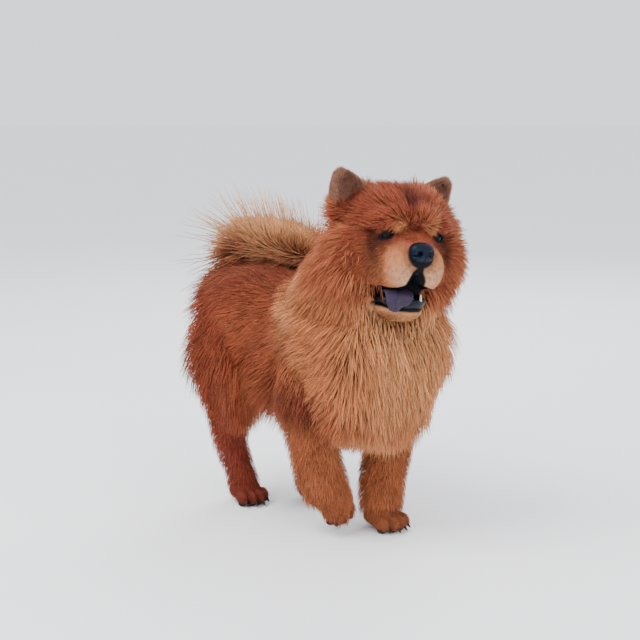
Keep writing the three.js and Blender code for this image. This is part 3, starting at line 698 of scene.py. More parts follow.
def groom_head(p, n):
    """Groom of the head shell: away from the nose, down over the cheeks, shortest on the muzzle."""
    h, outward = to_head(p), n @ HEAD_AXES
    side, below = np.abs(h[:, 1]), -h[:, 2]
    way = unit(h - (70, 0, -2)) + sum_of(((0, 0, -1), 0.5 * ramp(below, -10, 50)))
    # Ring of long hair round the cheeks, fuller on the left; throat, and crown beside the ears
    back = ramp(-h[:, 0], -10, 60)
    left = ramp(h[:, 1], 0, 60)
    ring = ramp(-h[:, 0] + 24 * left, -22, 30) * ramp(side, 46, 84) * ramp(below, -52, -10)
    throat = ramp(-outward[:, 2], 0.3, 0.8) * ramp(below, 60, 100) * back
    length = 34 + 6 * back + (38 - 24 * (1 - left) * ramp(h[:, 2], -5, 35)) * ring + 26 * throat
    length = length + (6 + 12 * left) * near(np.abs(h), (0, 50, 66), (50, 30, 34))
    way = way + sum_of(((0, 1, 0), 0.55 * np.sign(h[:, 1]) * near(h, (20, 0, 50), (60, 26, 40))))
    length = length * (1 - 0.45 * near(h, (-55, -92, 34), (44, 34, 34)))
    length = length + 16 * near(h, (-5, 72, 62), (40, 20, 26))
    lift, hug = 1.05 + 0.25 * ring * left, -0.34 - 0.65 * ring * left

    def blend(share, long, stand, press):
        """Moves length, lift and hug towards other values."""
        return length + (long - length) * share, lift + (stand - lift) * share, hug + (press - hug) * share

    cheek = ramp(h[:, 0], -30, 12) * ramp(below, -20, 12) * (1 - 0.8 * left * ramp(side, 60, 88))
    length, lift, hug = blend(cheek, 21, 0.8, -0.15)
    bridge = near(h, (54, 0, 8), (30, 20, 16))
    muzzle = ramp(h[:, 0] - 0.5 * np.maximum(side - 30, 0), 14, 44) * ramp(below, -16, 8)
    length, lift, hug = blend(np.maximum(muzzle, bridge), 6, 0.38, 0.05)
    # Short round the mouth and at its corners, and combed away from it
    round_mouth = np.minimum(level(h, *MOUTH), level(h, JAW, (54, 56, 32)))
    short = 0.92 * (1 - ramp(round_mouth, 1.02, 1.4)) * ramp(h[:, 0], -75, -50)
    length, lift, hug = blend(short, 5, 0.5, 0.0)
    corner = near(np.column_stack([h[:, 0], side, h[:, 2]]), (-14, 57, -74), (28, 18, 17))
    length, lift, hug = blend(0.8 * corner, 7, 0.5, 0.0)
    around = np.exp(-((round_mouth - 1) / 0.8) ** 2) * ramp(h[:, 0], -60, -20)
    way = way + unit((h - (26, 0, -100)) * (0.6, 1, 1)) * around[:, None]
    # Short round the eyes, brows hanging over them
    for m in (1, -1):
        eye = level(h, EYE * (1, m, 1) + (10, 0, -2), (24, 21, 10))
        length, lift, hug = blend(0.85 * (1 - ramp(eye, 0.9, 1.6)), 5, 0.4, 0.0)
        brow = near(h, (40, 38 * m, 22), (24, 20, 9))
        way = way * (1 - brow)[:, None] + sum_of(((0.5, 0.35 * m, -0.9), brow))
        length, lift, hug = blend(brow, 15, 0.75, -0.1)
    ear = ear_share(h)
    beside = near(np.abs(h), (50, 84, 60), (30, 26, 26)) * (1 - ear)
    length, lift, hug = blend(0.2 * beside, 20, 0.9, -0.1)
    length, lift, hug = blend(ear, 16, 0.62, -0.05)
    on_left = ramp(h[:, 1], -5, 5)
    up = sum_of(((0.05, 0.45, 1), on_left), ((0.05, -0.45, 1), 1 - on_left))
    way = way * (1 - ear)[:, None] + up * ear[:, None]
    dense = (1 - ramp(bare(h), 0.25, 0.6)) * (1 + 2.2 * ramp(-length, -26, -8)) * (1 + ear)
    dense *= ramp(NECK.measure(p)[2], 0.72, 0.8)
    return np.column_stack([way @ HEAD_AXES.T, length, lift, dense, hug]), np.full(len(p), HEAD)


def groom_jaw(p, n):
    """Groom of the lower jaw: short chin hair, down and back."""
    h = to_head(p)
    one = np.ones(len(p))
    way = np.tile([-0.4, 0, -1.0], (len(p), 1)) + 0.5 * np.array([0, 1, 0]) * np.sign(h[:, 1:2])
    length = 7 + 14 * ramp(-h[:, 2], 122, 138)
    dense = 2.4 * (1 - ramp(bare(h), 0.25, 0.6)) * ramp(h[:, 0], -30, -5)
    groom = np.column_stack([way @ HEAD_AXES.T, length, 0.5 * one, dense, 0 * one])
    return groom, np.full(len(p), HEAD)


def groom_paws(p, n):
    """Groom of the paws: forward and down over the toes, none on the sole."""
    one = np.ones(len(p))
    bent = ((p[:, 0] > 40) & (p[:, 1] < 0)).astype(float)
    way = sum_of(((1, 0, -0.6), 1 - 0.8 * bent), ((0, 0, -1), 0.8 * bent))
    dense = ramp(n[:, 2], -0.75, -0.4) * 1.8
    return np.column_stack([way, 12 + 6 * bent, 0.7 * one, dense, 0 * one]), np.full(len(p), PAW)


# Tufts

# Places along a tuft and its relative widths there, by the number of its rings
TAPER = {
    2: ((0, 0.5), (0.85, 0.85)),
    3: ((0, 0.4, 0.75), (0.75, 1.0, 0.6)),
    4: ((0, 0.3, 0.6, 0.84), (0.7, 1.0, 0.8, 0.42)),
}
# How deep a tuft is rooted in the skin, in mm
ROOTED = 3
# Primes that turn a cell's three indices into one number
PRIMES = np.array([73856093, 19349663, 83492791])
# Half the side of one tuft's patch on the UV map
PATCH = 0.0015


def tufts(name, roots, material, rings, clump, seed):
    """One mesh of tapered tufts.

    The middle of a tuft at s is root + L * (s (1 - s/2) * start + s^2 / 2 * end), with a slight
    wave. Its section is a flat triangle, and its tip is a point. Tips in the same small cell of
    space lean to their mean, which parts the hair into locks: clump is the cell's side in mm and
    the share of the way. Points past the coat's limits are moved onto them.
    """
    draw = np.random.default_rng(seed)
    p, out, lie, long, lift, width, hue, tip_hue, place, stray = (roots[k] for k in (
        "p", "out", "lie", "length", "lift", "width", "colour", "tip", "uv", "stray"))
    n = len(p)
    flat = unit(lie - out * dot(lie, out)[:, None])
    across = np.cross(out, flat)
    start = unit(flat * np.cos(lift)[:, None] + out * np.sin(lift)[:, None] + across * stray[:, :1])
    end = unit(flat - out * roots["hug"][:, None] + across * stray[:, 1:] + roots["drop"])
    s, shape = np.array([*TAPER[rings][0], 1.0]), np.array(TAPER[rings][1])
    middle = p[:, None] - ROOTED * start[:, None] + long[:, None, None] * (
        (s * (1 - s / 2))[None, :, None] * start[:, None] + (s * s / 2)[None, :, None] * end[:, None])
    # Locks
    cell = np.floor((middle[:, -2] + 3 * draw.normal(size=(n, 3))) / clump[0]).astype(np.int64)
    _, group = np.unique(cell @ PRIMES, return_inverse=True)
    share = np.bincount(group)
    mean = np.stack([np.bincount(group, middle[:, -1, k]) / share for k in range(3)], 1)[group]
    pull = clump[1] * draw.uniform(0.3, 1.3, n)[:, None, None]
    middle += pull * (s ** 2)[None, :, None] * (mean - middle[:, -1])[:, None]
    wave = np.sin(s[None] * draw.uniform(3, 7, (n, 1)) + draw.uniform(0, 6.3, (n, 1))) * s[None]
    middle += across[:, None] * (wave * (0.035 * long)[:, None])[..., None]
    # Sections
    along = unit(np.gradient(middle, axis=1))
    side = unit(across[:, None] - along * dot(across[:, None], along)[..., None])
    ridge = np.cross(along, side)[:, :rings]
    side, body = side[:, :rings], middle[:, :rings]
    half = (width[:, None] / 2 * shape[None])[..., None]
    corners = np.stack([
        body + side * half - ridge * half * 0.3, body + ridge * half * 0.7,
        body - side * half - ridge * half * 0.3], 2).reshape(n, rings * 3, 3)
    co = np.concatenate([corners, middle[:, -1:]], 1)
    # Faces of one tuft, then of all
    last = (rings - 1) * 3
    faces = [(0, 2, 1)]
    for a in range(last):
        b = a - a % 3 + (a + 1) % 3
        faces += [(a, b, b + 3), (a, b + 3, a + 3)]
    faces += [(last + k, last + (k + 1) % 3, last + 3) for k in range(3)]
    faces = (np.array(faces)[None] + (last + 4) * np.arange(n)[:, None, None]).reshape(-1, 3)
    # Colour: painted shade darkens the root, and the hair goes from its own colour to the tip's
    row = np.append(np.repeat(s[:rings], 3), 1.0)
    colour = hue[:, None] + (tip_hue - hue)[:, None] * (row ** 1.3)[None, :, None]
    colour = colour * (0.48 + 0.52 * np.minimum(row * 1.7, 1))[None, :, None]
    co = np.clip(co.reshape(-1, 3), LOWEST, HIGHEST)
    obj = put_mesh(name, co, faces, material, np.clip(colour.reshape(-1, 3), 0, 1))
    cross = np.append(np.tile([-1.0, 0.0, 1.0], rings), 0.0)
    patch = PATCH * np.stack([cross, 2 * row - 1], 1)
    uv = (place[:, None] + patch[None]).reshape(-1, 2).astype(np.float32)
    layer = obj.data.uv_layers.new(name="OFBake")
    layer.uv.foreach_set("vector", uv[faces.ravel()].ravel())
    return obj


def scatter(skin, mask, count, seed):
    """Roots spread over the masked triangles, in proportion to their area and density."""
    draw = np.random.default_rng(seed)
    tri = skin["tri"][mask]
    a, b, c = (skin["co"][tri[:, k]] for k in range(3))
    area = np.linalg.norm(np.cross(b - a, c - a), axis=1)
    weight = area * skin["groom"][tri, 5].mean(1)
    edge = np.cumsum(weight)
    pick = np.searchsorted(edge, (np.arange(count) + draw.uniform(size=count)) / count * edge[-1])
    pick = np.minimum(pick, len(tri) - 1)
    u, v = draw.uniform(size=(2, count))
    fold = u + v > 1
    u, v = np.where(fold, 1 - u, u), np.where(fold, 1 - v, v)
    w = np.stack([1 - u - v, u, v], 1)
    p, out, groom = ((skin[k][tri[pick]] * w[..., None]).sum(1) for k in ("co", "normal", "groom"))
    return {
        "p": p, "out": unit(out), "lie": groom[:, :3],
        "length": groom[:, 3], "lift": groom[:, 4], "hug": groom[:, 6],
    }


# Materials

def set_inputs(tree, node, inputs):
    """Sets each input of a node to a number or colour, or links it to a socket."""
    for key, value in inputs.items():
        if isinstance(value, bpy.types.NodeSocket):
            tree.links.new(value, node.inputs[key])
        else:
            node.inputs[key].default_value = value


def add_node(tree, kind, inputs=(), **settings):
    """Adds a shader node with its settings, and sets or links its inputs."""
    node = tree.nodes.new(kind)
    for key, value in settings.items():
        setattr(node, key, value)
    set_inputs(tree, node, dict(inputs))
    return node


def new_material(name, build, *values):
    """A material whose Principled shader gets the inputs that build(tree, *values) returns."""
    material = bpy.data.materials.new(name)
    material.use_nodes = True
    tree = material.node_tree
    set_inputs(tree, tree.nodes["Principled BSDF"], build(tree, *values))
    return material


def mottling(tree, grain, detail, low=None, high=None):
    """Noise of the given grain in metres, the place it reads, and two hex tones mixed by it."""
    where = add_node(tree, "ShaderNodeTexCoord").outputs["Object"]
    noise = add_node(tree, "ShaderNodeTexNoise", {"Vector": where, "Scale": 1 / grain, "Detail": detail})
    tone = low and add_node(tree, "ShaderNodeMix", {
        "Factor": noise.outputs["Fac"], "A": rgba(low), "B": rgba(high)}, data_type="RGBA").outputs[2]
    return noise.outputs["Fac"], where, tone


def relief(tree, height, strength, depth):
    """Normal of a bump whose full height is depth, in metres."""
    return add_node(tree, "ShaderNodeBump", {
        "Height": height, "Strength": strength, "Distance": depth}).outputs["Normal"]


def hair(tree, grain=0.0035, bump=0.0):
    """Hair: keratin fibres under overlapping scales, which leave it matt with hardly a sheen.

    Its colour is that of the tuft, mottled at the width of a single lock, 3.5 mm, since
    single hairs of 0.1 mm are too fine to show.
    """
    colour = add_node(tree, "ShaderNodeAttribute", attribute_name="coat_colour").outputs["Color"]
    noise, _, _ = mottling(tree, grain, 3.0)
    value = add_node(tree, "ShaderNodeMapRange", {
        "Value": noise, "From Min": 0.3, "From Max": 0.7, "To Min": 0.82, "To Max": 1.14})
    tint = add_node(tree, "ShaderNodeVectorMath", {0: colour, "Scale": value.outputs[0]}, operation="SCALE")
    made = {"Base Color": tint.outputs[0], "Roughness": 0.72, "Specular IOR Level": 0.07, "IOR": 1.55}
    if bump:
        made["Normal"] = relief(tree, noise, 0.6, bump)
    return made


def leather(tree):
    """Nose leather: thick black skin grown in pebbles of 1.2 mm, with a wet film that gives it
    small bluish lights."""
    _, where, tone = mottling(tree, 0.008, 3.0, "#03050c", "#080e1e")
    cells = add_node(tree, "ShaderNodeTexVoronoi", {"Vector": where, "Scale": 1 / 0.0012})
    return {"Base Color": tone, "Roughness": 0.42, "IOR": 1.36,
            "Specular Tint": (0.6, 0.75, 1.0, 1.0), "Specular IOR Level": 0.34,
            "Normal": relief(tree, cells.outputs["Distance"], 0.35, 0.0004)}


# Two tones, grain in metres, roughness and weight of the wet coat
FLESH = {
    # Tongue: living mucous skin in soft papillae, drawn at 3.5 mm; blue-black, dulled by them
    "tongue_wet": ("#231a2b", "#372a3f", 0.0035, 0.45, 0.03),
    # Lip: smooth dark skin in creases of 4 mm; moist, so its edge catches a soft light
    "lip_skin_wet": ("#07070e", "#10111f", 0.004, 0.42, 0.03),
    # Teeth: enamel, polished by use under saliva; ivory with a clear gleam
    "tooth_enamel": ("#b9ab92", "#d9cfba", 0.003, 0.3, 0.2),
    # Claws: horn, worn smooth on the ground, streaked at 2 mm; brown-black and waxy
    "claw_horn": ("#14100e", "#2e2520", 0.002, 0.35, 0.2),
    # Pads: thick dry skin in papillae of 1.5 mm; near black, with no gloss
    "pad_skin_rough": ("#171415", "#2a2526", 0.0015, 0.8, 0.0),
}


def flesh(tree, low, high, grain, rough, coat):
    """Skin, enamel or horn: two tones mixed by noise, with a fine bump and a film over it."""
    noise, _, tone = mottling(tree, grain, 5.0, low, high)
    return {"Base Color": tone, "Roughness": rough, "IOR": 1.4,
            "Specular IOR Level": 0.25, "Coat Weight": coat, "Coat Roughness": 0.15,
            "Normal": relief(tree, noise, 0.4, grain / 6)}


def eye_gloss(tree):
    """Cornea, clear and wet, over a dark iris: the colour is on the mesh, and the surface gives
    one small sharp light."""
    colour = add_node(tree, "ShaderNodeAttribute", attribute_name="coat_colour").outputs["Color"]
    return {"Base Color": colour, "Roughness": 0.08, "IOR": 1.336, "Specular IOR Level": 0.22}


def paper(tree):
    """Backdrop paper, uncoated and rolled smooth: matt and nearly white, in faint clouds."""
    _, _, tone = mottling(tree, 0.5, 2.0, "#f7f8fa", "#fcfcfd")
    return {"Base Color": tone, "Roughness": 0.9, "Specular IOR Level": 0.1}


# Properties

def size_prop(name, text, value):
    """A length in metres."""
    return FloatProperty(
        name=name, description=text, default=value, min=0.0, max=1.0, subtype="DISTANCE", unit="LENGTH")


def tint_prop(name, text, value):
    """An sRGB colour, its default in hex."""
    return FloatVectorProperty(
        name=name, description=text, default=hex_parts(value), size=3, min=0, max=1, subtype="COLOR_GAMMA")


class ChowColours(PropertyGroup):
    """Colours of the coat, as sRGB."""
    red: tint_prop("Red", "Face, rump and legs", "#80342b")
    # Deep also paints shade in the folds at the elbows
    deep: tint_prop("Deep", "Saddle, crown and elbows", "#592423")
    russet: tint_prop("Russet", "Sides and shoulders", "#95492f")
    gold: tint_prop("Gold", "Mane, brows and plume", "#be7c51")
    cream: tint_prop("Cream", "Bib, muzzle and belly", "#d0996a")
    pale: tint_prop("Pale", "Hair at the lips", "#c9ae93")
    # Dark also paints shade: in the forehead groove, in the hollows and creases round the eyes, and in the ear
    # cups
    dark: tint_prop("Dark", "Forehead groove, folds of the face, whisker roots and paws", "#281416")
    ear: tint_prop("Ear", "Greyish hair of the ears", "#866254")


class ChowSizes(PropertyGroup):
    """Sizes of the coat."""
    coat_depth: size_prop("Coat depth", "From the skin to the plain coat's surface on the body", 0.022)
    head_depth: size_prop("Head coat depth", "From the skin to the coat's surface on the crown", 0.020)
    tuft_share: FloatProperty(
        name="Tufts", description="Share of the full number of tufts", default=1.0, min=0.05, max=1.0,
        subtype="FACTOR")


def chow(context):
    """The sizes and the colours that the scene holds."""
    return context.scene.chow_sizes, context.scene.chow_colours


# What later operators need: the materials "hair" and "hide", and the skin's points, triangles,
# normals, groom and regions
STORE = {}


# Operators

class CHOW_OT_stage(Operator):
    """Sets the camera, the pale floor and the soft light"""
    bl_idname = "chow.stage"
    bl_label = "Stage"

    def execute(self, context):
        # Camera: turned 50 degrees from the dog's right side to its front, looking down 9.37
        azimuth, pitch = math.radians(50), math.radians(9.37)
        sideways, distance, height = 0.0004, 2.51, 0.8
        right = Vector((math.cos(azimuth), math.sin(azimuth), 0))
        away = Vector((math.sin(azimuth), -math.cos(azimuth), 0))
        look = -away * math.cos(pitch) - Vector((0, 0, math.sin(pitch)))
        up = right.cross(look)
        place = sideways * right + distance * away + Vector((0, 0, height)) + Vector(SHIFT)
        camera = bpy.data.cameras.new("camera")
        camera.lens, camera.sensor_width = 75, 36
        eye = bpy.data.objects.new("camera", camera)
        eye.matrix_world = Matrix((
            (right.x, up.x, -look.x, place.x), (right.y, up.y, -look.y, place.y),
            (right.z, up.z, -look.z, place.z), (0, 0, 0, 1)))
        context.scene.collection.objects.link(eye)
        context.scene.camera = eye
        # Floor: a disc of 40 m radius
        a = angles(96)
        disc = np.stack([40 * np.cos(a), 40 * np.sin(a), 0 * a], 1)
        floor = put_mesh("floor", disc, [tuple(range(96))], new_material("matt_paper_floor", paper), place=False)
        floor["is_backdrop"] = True
        world = bpy.data.worlds.new("studio") if context.scene.world is None else context.scene.world
        context.scene.world = world
        world.use_nodes = True
        back = world.node_tree.nodes["Background"]
        back.inputs["Color"].default_value = rgba("#eceff4")
        back.inputs["Strength"].default_value = 1.7
        # Lamps: place and diameter in metres, power in watts, all turned to the dog's middle
        for name, at, size, power in (
            ("key", (-0.2, -2.0, 3.0), 2.2, 110), ("fill", (3.0, -0.6, 1.8), 2.4, 40),
            ("rear", (-1.6, 2.4, 2.6), 2.0, 60),
        ):
            lamp = bpy.data.lights.new(name, "AREA")
            lamp.shape, lamp.size, lamp.energy = "DISK", size, power
            light = bpy.data.objects.new(name, lamp)
            light.location = at
            light.rotation_mode = "QUATERNION"
            light.rotation_quaternion = (Vector(at) - Vector((0, 0, 0.3))).to_track_quat("Z", "Y")
            context.scene.collection.objects.link(light)
        return {"FINISHED"}


class CHOW_OT_skin(Operator):
    """Makes the one skin under the coat, with its coat colours and painted shade, and the lie of the hair"""
    bl_idname = "chow.skin"
    bl_label = "Skin"

    def execute(self, context):
        sizes, colours = chow(context)
        depth, crown = sizes.coat_depth * 1000, sizes.head_depth * 1000
        # Each form lies inside the solids by the depth of its coat, which thins towards the paws
        body = moulded([
            TRUNK.shell(depth), NECK.shell(depth + 4), TAIL_CORE.shell(9),
            FORE_LEFT.shell(depth * 0.8, 6), FORE_RIGHT.shell(depth * 0.8, 5),
            HIND_LEFT.shell(depth, 6), HIND_RIGHT.shell(depth, 6),
        ], voxel=5.5, rounds=8)
        cuts = [egg(*MOUTH)]
        for m in (1, -1):
            centre, roll = eye_slit(m)
            cuts.append(egg(centre, (14, 12.5, 3.6), roll=roll))
        cuts += [cup.shell() for cup in EAR_CUPS]
        head = moulded(skull_parts(crown) + [ear.shell(1.5) for ear in EARS], voxel=2.2, rounds=5, cuts=cuts)
        jaw = moulded([
            egg(JAW, (48, 47, 20), pitch=0.08, inset=2), egg((34, 0, -121), (25, 32, 18), inset=1.5),
        ], voxel=2.2, rounds=3)
        head, jaw = ((from_head(points), faces) for points, faces in (head, jaw))
        paws = moulded([
            place_paw(name, egg(centre, radii, pitch=pitch, inset=4), 1.0)
            for name in PAWS for centre, radii, pitch in paw_parts(name)
        ], voxel=2.6, rounds=2)
        co, tri, groom, region, start = [], [], [], [], 0
        shells = (body, groom_body), (head, groom_head), (jaw, groom_jaw), (paws, groom_paws)
        for (points, faces), method in shells:
            normal = normals_of(points, faces)
            values, label = method(points, normal)
            values = smooth_over(values, faces, rounds=6)
            co.append(points)
            tri.append(faces + start)
            groom.append(values)
            region.append(label)
            start += len(points)
        co, tri, groom, region = (np.concatenate(v) for v in (co, tri, groom, region))
        normal = normals_of(co, tri)
        # No hair roots inside another shell
        h = to_head(co)
        inside = np.minimum(level(h, SKULL, (60, 82, 59)), level(h, (-16, 0, -40), (36, 84, 46)))
        groom[region <= PLUME, 5] *= ramp(inside[region <= PLUME], 0.9, 1.05)
        # The skin is darkened as painted shade under the hair that stands over it
        colour = coat_with_shade(co, colours) * 0.8
        STORE["skin"] = {"co": co, "tri": tri, "groom": groom, "region": region, "normal": normal}
        skin = put_mesh("skin", co, tri, STORE["hide"], colour)
        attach(skin, "root")
        flesh_nodes = [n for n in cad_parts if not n.startswith("eye_") and n not in ("nose", "tongue")]
        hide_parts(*flesh_nodes)
        return {"FINISHED"}


def unwrap(p, piece):
    """Place of each root p on an unwrap of its region's own shape: angle round and way along a
    limb, or for the head the polar angle from the nose spread out as a disc."""
    if piece in ("coat_face", "coat_head", "coat_ruff"):
        q = unit(to_head(p) - (0, 0, -15))
        polar = np.arccos(np.clip(q[:, 0], -1, 1)) / math.pi
        turn = np.arctan2(q[:, 2], q[:, 1])
        return 0.5 + 0.48 * polar[:, None] * np.stack([np.cos(turn), np.sin(turn)], 1)
    limbs = {
        "coat_forelegs": [FORE_LEFT, FORE_RIGHT], "coat_hindlegs": [HIND_LEFT, HIND_RIGHT],
        "coat_plume": [TAIL], "coat_mane": [NECK],
    }.get(piece, [TRUNK])
    found = [limb.measure(p) for limb in limbs]
    which = np.argmin([f[2] for f in found], 0)
    t, angle = (np.array([f[k] for f in found])[which, np.arange(len(p))] for k in (0, 1))
    row = which, np.round(t * (STATIONS - 1)).astype(int)
    centre, ahead = (np.array([getattr(limb, k) for limb in limbs])[row] for k in ("centre", "along"))
    # 600 mm is longer than any limb, so hair past its end keeps a place of its own
    v = t + dot(p - centre, ahead) / 600
    u = (which + 0.02 + 0.96 * (angle / TURN + 0.5)) / len(limbs)
    return np.stack([0.01 + 0.98 * u, 0.05 + 0.9 * np.clip(v, -0.04, 1.04)], 1)


class CHOW_OT_coat(Operator):
    """Grows the coat in tufts over the skin, region by region"""
    bl_idname = "chow.coat"
    bl_label = "Coat"

    def execute(self, context):
        sizes, colours = chow(context)
        skin = STORE["skin"]
        centre = skin["co"][skin["tri"]].mean(1)
        region = skin["region"][skin["tri"][:, 0]]
        long = skin["groom"][skin["tri"], 3].mean(1)
        x = centre[:, 0]
        head, body = region == HEAD, region == BODY
        face, ruff = head & (long < 17), head & (long >= 44)
        # Which triangles, number of tufts, rings, width in mm, and the side and pull of the locks
        pieces = {
            "coat_face": (face, 18500, 2, 1.25, (4, 0.12)),
            "coat_head": (head & ~face & ~ruff, 17000, 2, 1.25, (6, 0.1)),
            "coat_ruff": (ruff, 8200, 3, 1.75, (14, 0.28)),
            "coat_mane": (region == MANE, 10500, 3, 1.75, (18, 0.3)),
            "coat_chest": (body & (x > 110), 8300, 3, 1.8, (17, 0.3)),
            "coat_sides": (body & (x <= 110) & (x > -110), 16500, 2, 1.5, (8, 0.12)),
            "coat_rump": (body & (x <= -110), 12500, 2, 1.7, (9, 0.16)),
            "coat_forelegs": ((region == FORE) | ((region == PAW) & (x > 0)), 14500, 2, 1.5, (8, 0.12)),
            "coat_hindlegs": ((region == HIND) | ((region == PAW) & (x <= 0)), 14500, 2, 1.6, (9, 0.15)),
            "coat_plume": (region == PLUME, 6000, 4, 2.0, (18, 0.4)),
        }
        # Each piece draws its random numbers from seeds of its own
        for seed, (name, (mask, many, rings, width, clump)) in enumerate(pieces.items(), 11):
            count = int(sizes.tuft_share * many)
            roots = scatter(skin, mask, count, seed)
            draw = np.random.default_rng(seed + 100)
            p = roots["p"]
            roots["length"] = roots["length"] * draw.uniform(0.72, 1.18, count)
            roots["lift"] = roots["lift"] * draw.uniform(0.75, 1.25, count)
            # Short hair grows in finer tufts
            thin = np.clip(roots["length"] / 32, 0.6, 1.15)
            roots["width"] = width * thin * draw.uniform(0.7, 1.25, count)
            roots["lie"] = unit(roots["lie"]) + 0.16 * np.stack([ripple(p, 60, 5 + k) for k in range(3)], 1)
            roots["stray"] = draw.normal(0, 0.13, (count, 2))
            roots["drop"] = np.tile([0, 0, -0.12], (count, 1))
            if name == "coat_plume":
                # One tuft in eight is a long thin wisp, and on top it stands up
                wisp = draw.uniform(size=count) < 0.12
                roots["length"] = np.where(wisp, roots["length"] * 1.9, roots["length"])
                roots["width"] = np.where(wisp, roots["width"] * 0.55, roots["width"])
                roots["drop"] = roots["lie"] * 0.4
                high = wisp & (roots["out"][:, 2] > 0)
                roots["lift"] = np.where(high, 1.2, roots["lift"])
                roots["hug"] = np.where(high, -1.3, roots["hug"])
            base = coat_with_shade(p, colours, name == "coat_face")
            bright = 1 + 0.2 * ripple(p, 34, 3) + draw.normal(0, 0.2, count)
            base = base * np.clip(bright, 0.4, 1.7)[:, None]
            # Tips: lighter and nearer gold, the more so where the hair is light
            share = np.clip(base.sum(1) / 0.25, 0, 1) * 0.22 * draw.uniform(0, 1.5, count)
            light = mix(base * 1.15, linear(colours.gold) * 1.1, share)
            if name in ("coat_mane", "coat_chest", "coat_ruff"):
                light = mix(base * 1.25, linear(colours.gold) * 1.25, 0.5 * draw.uniform(0.1, 1.5, count))
            if name == "coat_plume":
                light = mix(base * 1.2, linear(colours.cream), 0.6 * draw.uniform(0.2, 1.5, count))
            roots["colour"], roots["tip"] = base, light
            roots["uv"] = unwrap(p, name)
            piece = tufts(name, roots, STORE["hair"], rings, clump, seed)
            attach(piece, "root")
        return {"FINISHED"}


class CHOW_OT_eyes(Operator):
    """Makes the eyeballs, with iris and pupil under the cornea"""
    bl_idname = "chow.eyes"
    bl_label = "Eyes"

    def execute(self, context):
        gloss = new_material("cornea_over_iris", eye_gloss)
        # Angle from the front of the eye, and angle round it
        a, u = np.linspace(0, math.pi, 49)[1:-1, None], angles(64)[None]
        swell = EYE_RADIUS * (1 + 0.05 * np.exp(-(a / 0.45) ** 2))
        globe = np.stack([np.cos(a) + 0 * u, np.sin(a) * np.cos(u), np.sin(a) * np.sin(u)], -1) * swell[..., None]
        away = np.append(np.repeat(a, 64), [0, math.pi])
        spin = np.append(np.tile(u.ravel(), len(a)), [0, 0])
        fibre = 0.5 + 0.5 * np.sin(spin * 23 + 3 * np.sin(spin * 5))
        # Pupil, iris with its fibres, and the dark white of the eye from the middle outwards
        iris = mix(np.tile(linear("#120906"), (len(away), 1)), linear("#20110a"), fibre * ramp(away, 0.28, 0.5))
        colour = mix(np.tile(linear("#020203"), (len(away), 1)), iris, ramp(away, 0.26, 0.3))
        colour = mix(colour, linear("#0b0808"), ramp(away, 0.62, 0.7))
        for m, node in ((1, "eye_left"), (-1, "eye_right")):
            turn = turning(yaw=0.25 * m, pitch=0.05)
            centre = EYE * (1, m, 1)
            front, rear = centre + turn @ (EYE_RADIUS * 1.05, 0, 0), centre - turn @ (EYE_RADIUS, 0, 0)
            co, faces = close_grid(globe @ turn.T + centre, front, rear)
            eye = put_mesh("eyeball_left" if m > 0 else "eyeball_right", from_head(co), faces, gloss, colour)
            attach(eye, "root")
            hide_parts(node)
        return {"FINISHED"}


class CHOW_OT_nose(Operator):
    """Makes the nose pad with its nostrils and groove"""
    bl_idname = "chow.nose"
    bl_label = "Nose"

    def execute(self, context):
        # Pad: a superellipsoid with round nostrils, the slits beside them and the groove between
        d = ball(144, 96)
        full = (np.abs(d) ** 2.5).sum(-1, keepdims=True) ** (-1 / 2.5)
        q = d * full * np.array([17.5, 23.5, 17.5])
        ahead = ramp(q[..., 0], 2, 10)
        y, z = np.abs(q[..., 1]), q[..., 2]
        dent = 9 * np.exp(-((y - 10.5) / 3.9) ** 2 - ((z + 1.5) / 4.4) ** 2) * ahead
        dent += 4.5 * np.exp(-((y - 18) / 5.5) ** 2 - ((z + 6 + 0.3 * (y - 18)) / 1.9) ** 2)
        dent += 1.6 * np.exp(-(y / 0.9) ** 2) * ramp(-z, -4, 2) * ahead
        lip = 1.2 * np.exp(-(np.hypot((y - 10.5) / 7, (z + 1.5) / 7.5) - 1) ** 2 / 0.05) * ahead
        q = q - d * (dent - lip)[..., None]
        centre = np.array([70, 0, -19])
        pad = close_grid(q + centre, centre + (0, 0, -17.5), centre + (0, 0, 17.5))
        # Strip below it down to the lip, an ellipsoid with the same groove
        d = ball(96, 48)
        q = d * (12, 7.5, 17)
        q = q - d * (1.8 * np.exp(-(q[..., 1] / 1.1) ** 2) * ramp(q[..., 0], 2, 8))[..., None]
        centre = np.array([58, 0, -42])
        strip = close_grid(q + centre, centre + (0, 0, -17), centre + (0, 0, 17))
        co, faces = join([pad, strip])
        nose = put_mesh("nose_pad", from_head(co), faces, new_material("nose_leather_moist", leather))
        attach(nose, "root")
        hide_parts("nose")
        return {"FINISHED"}


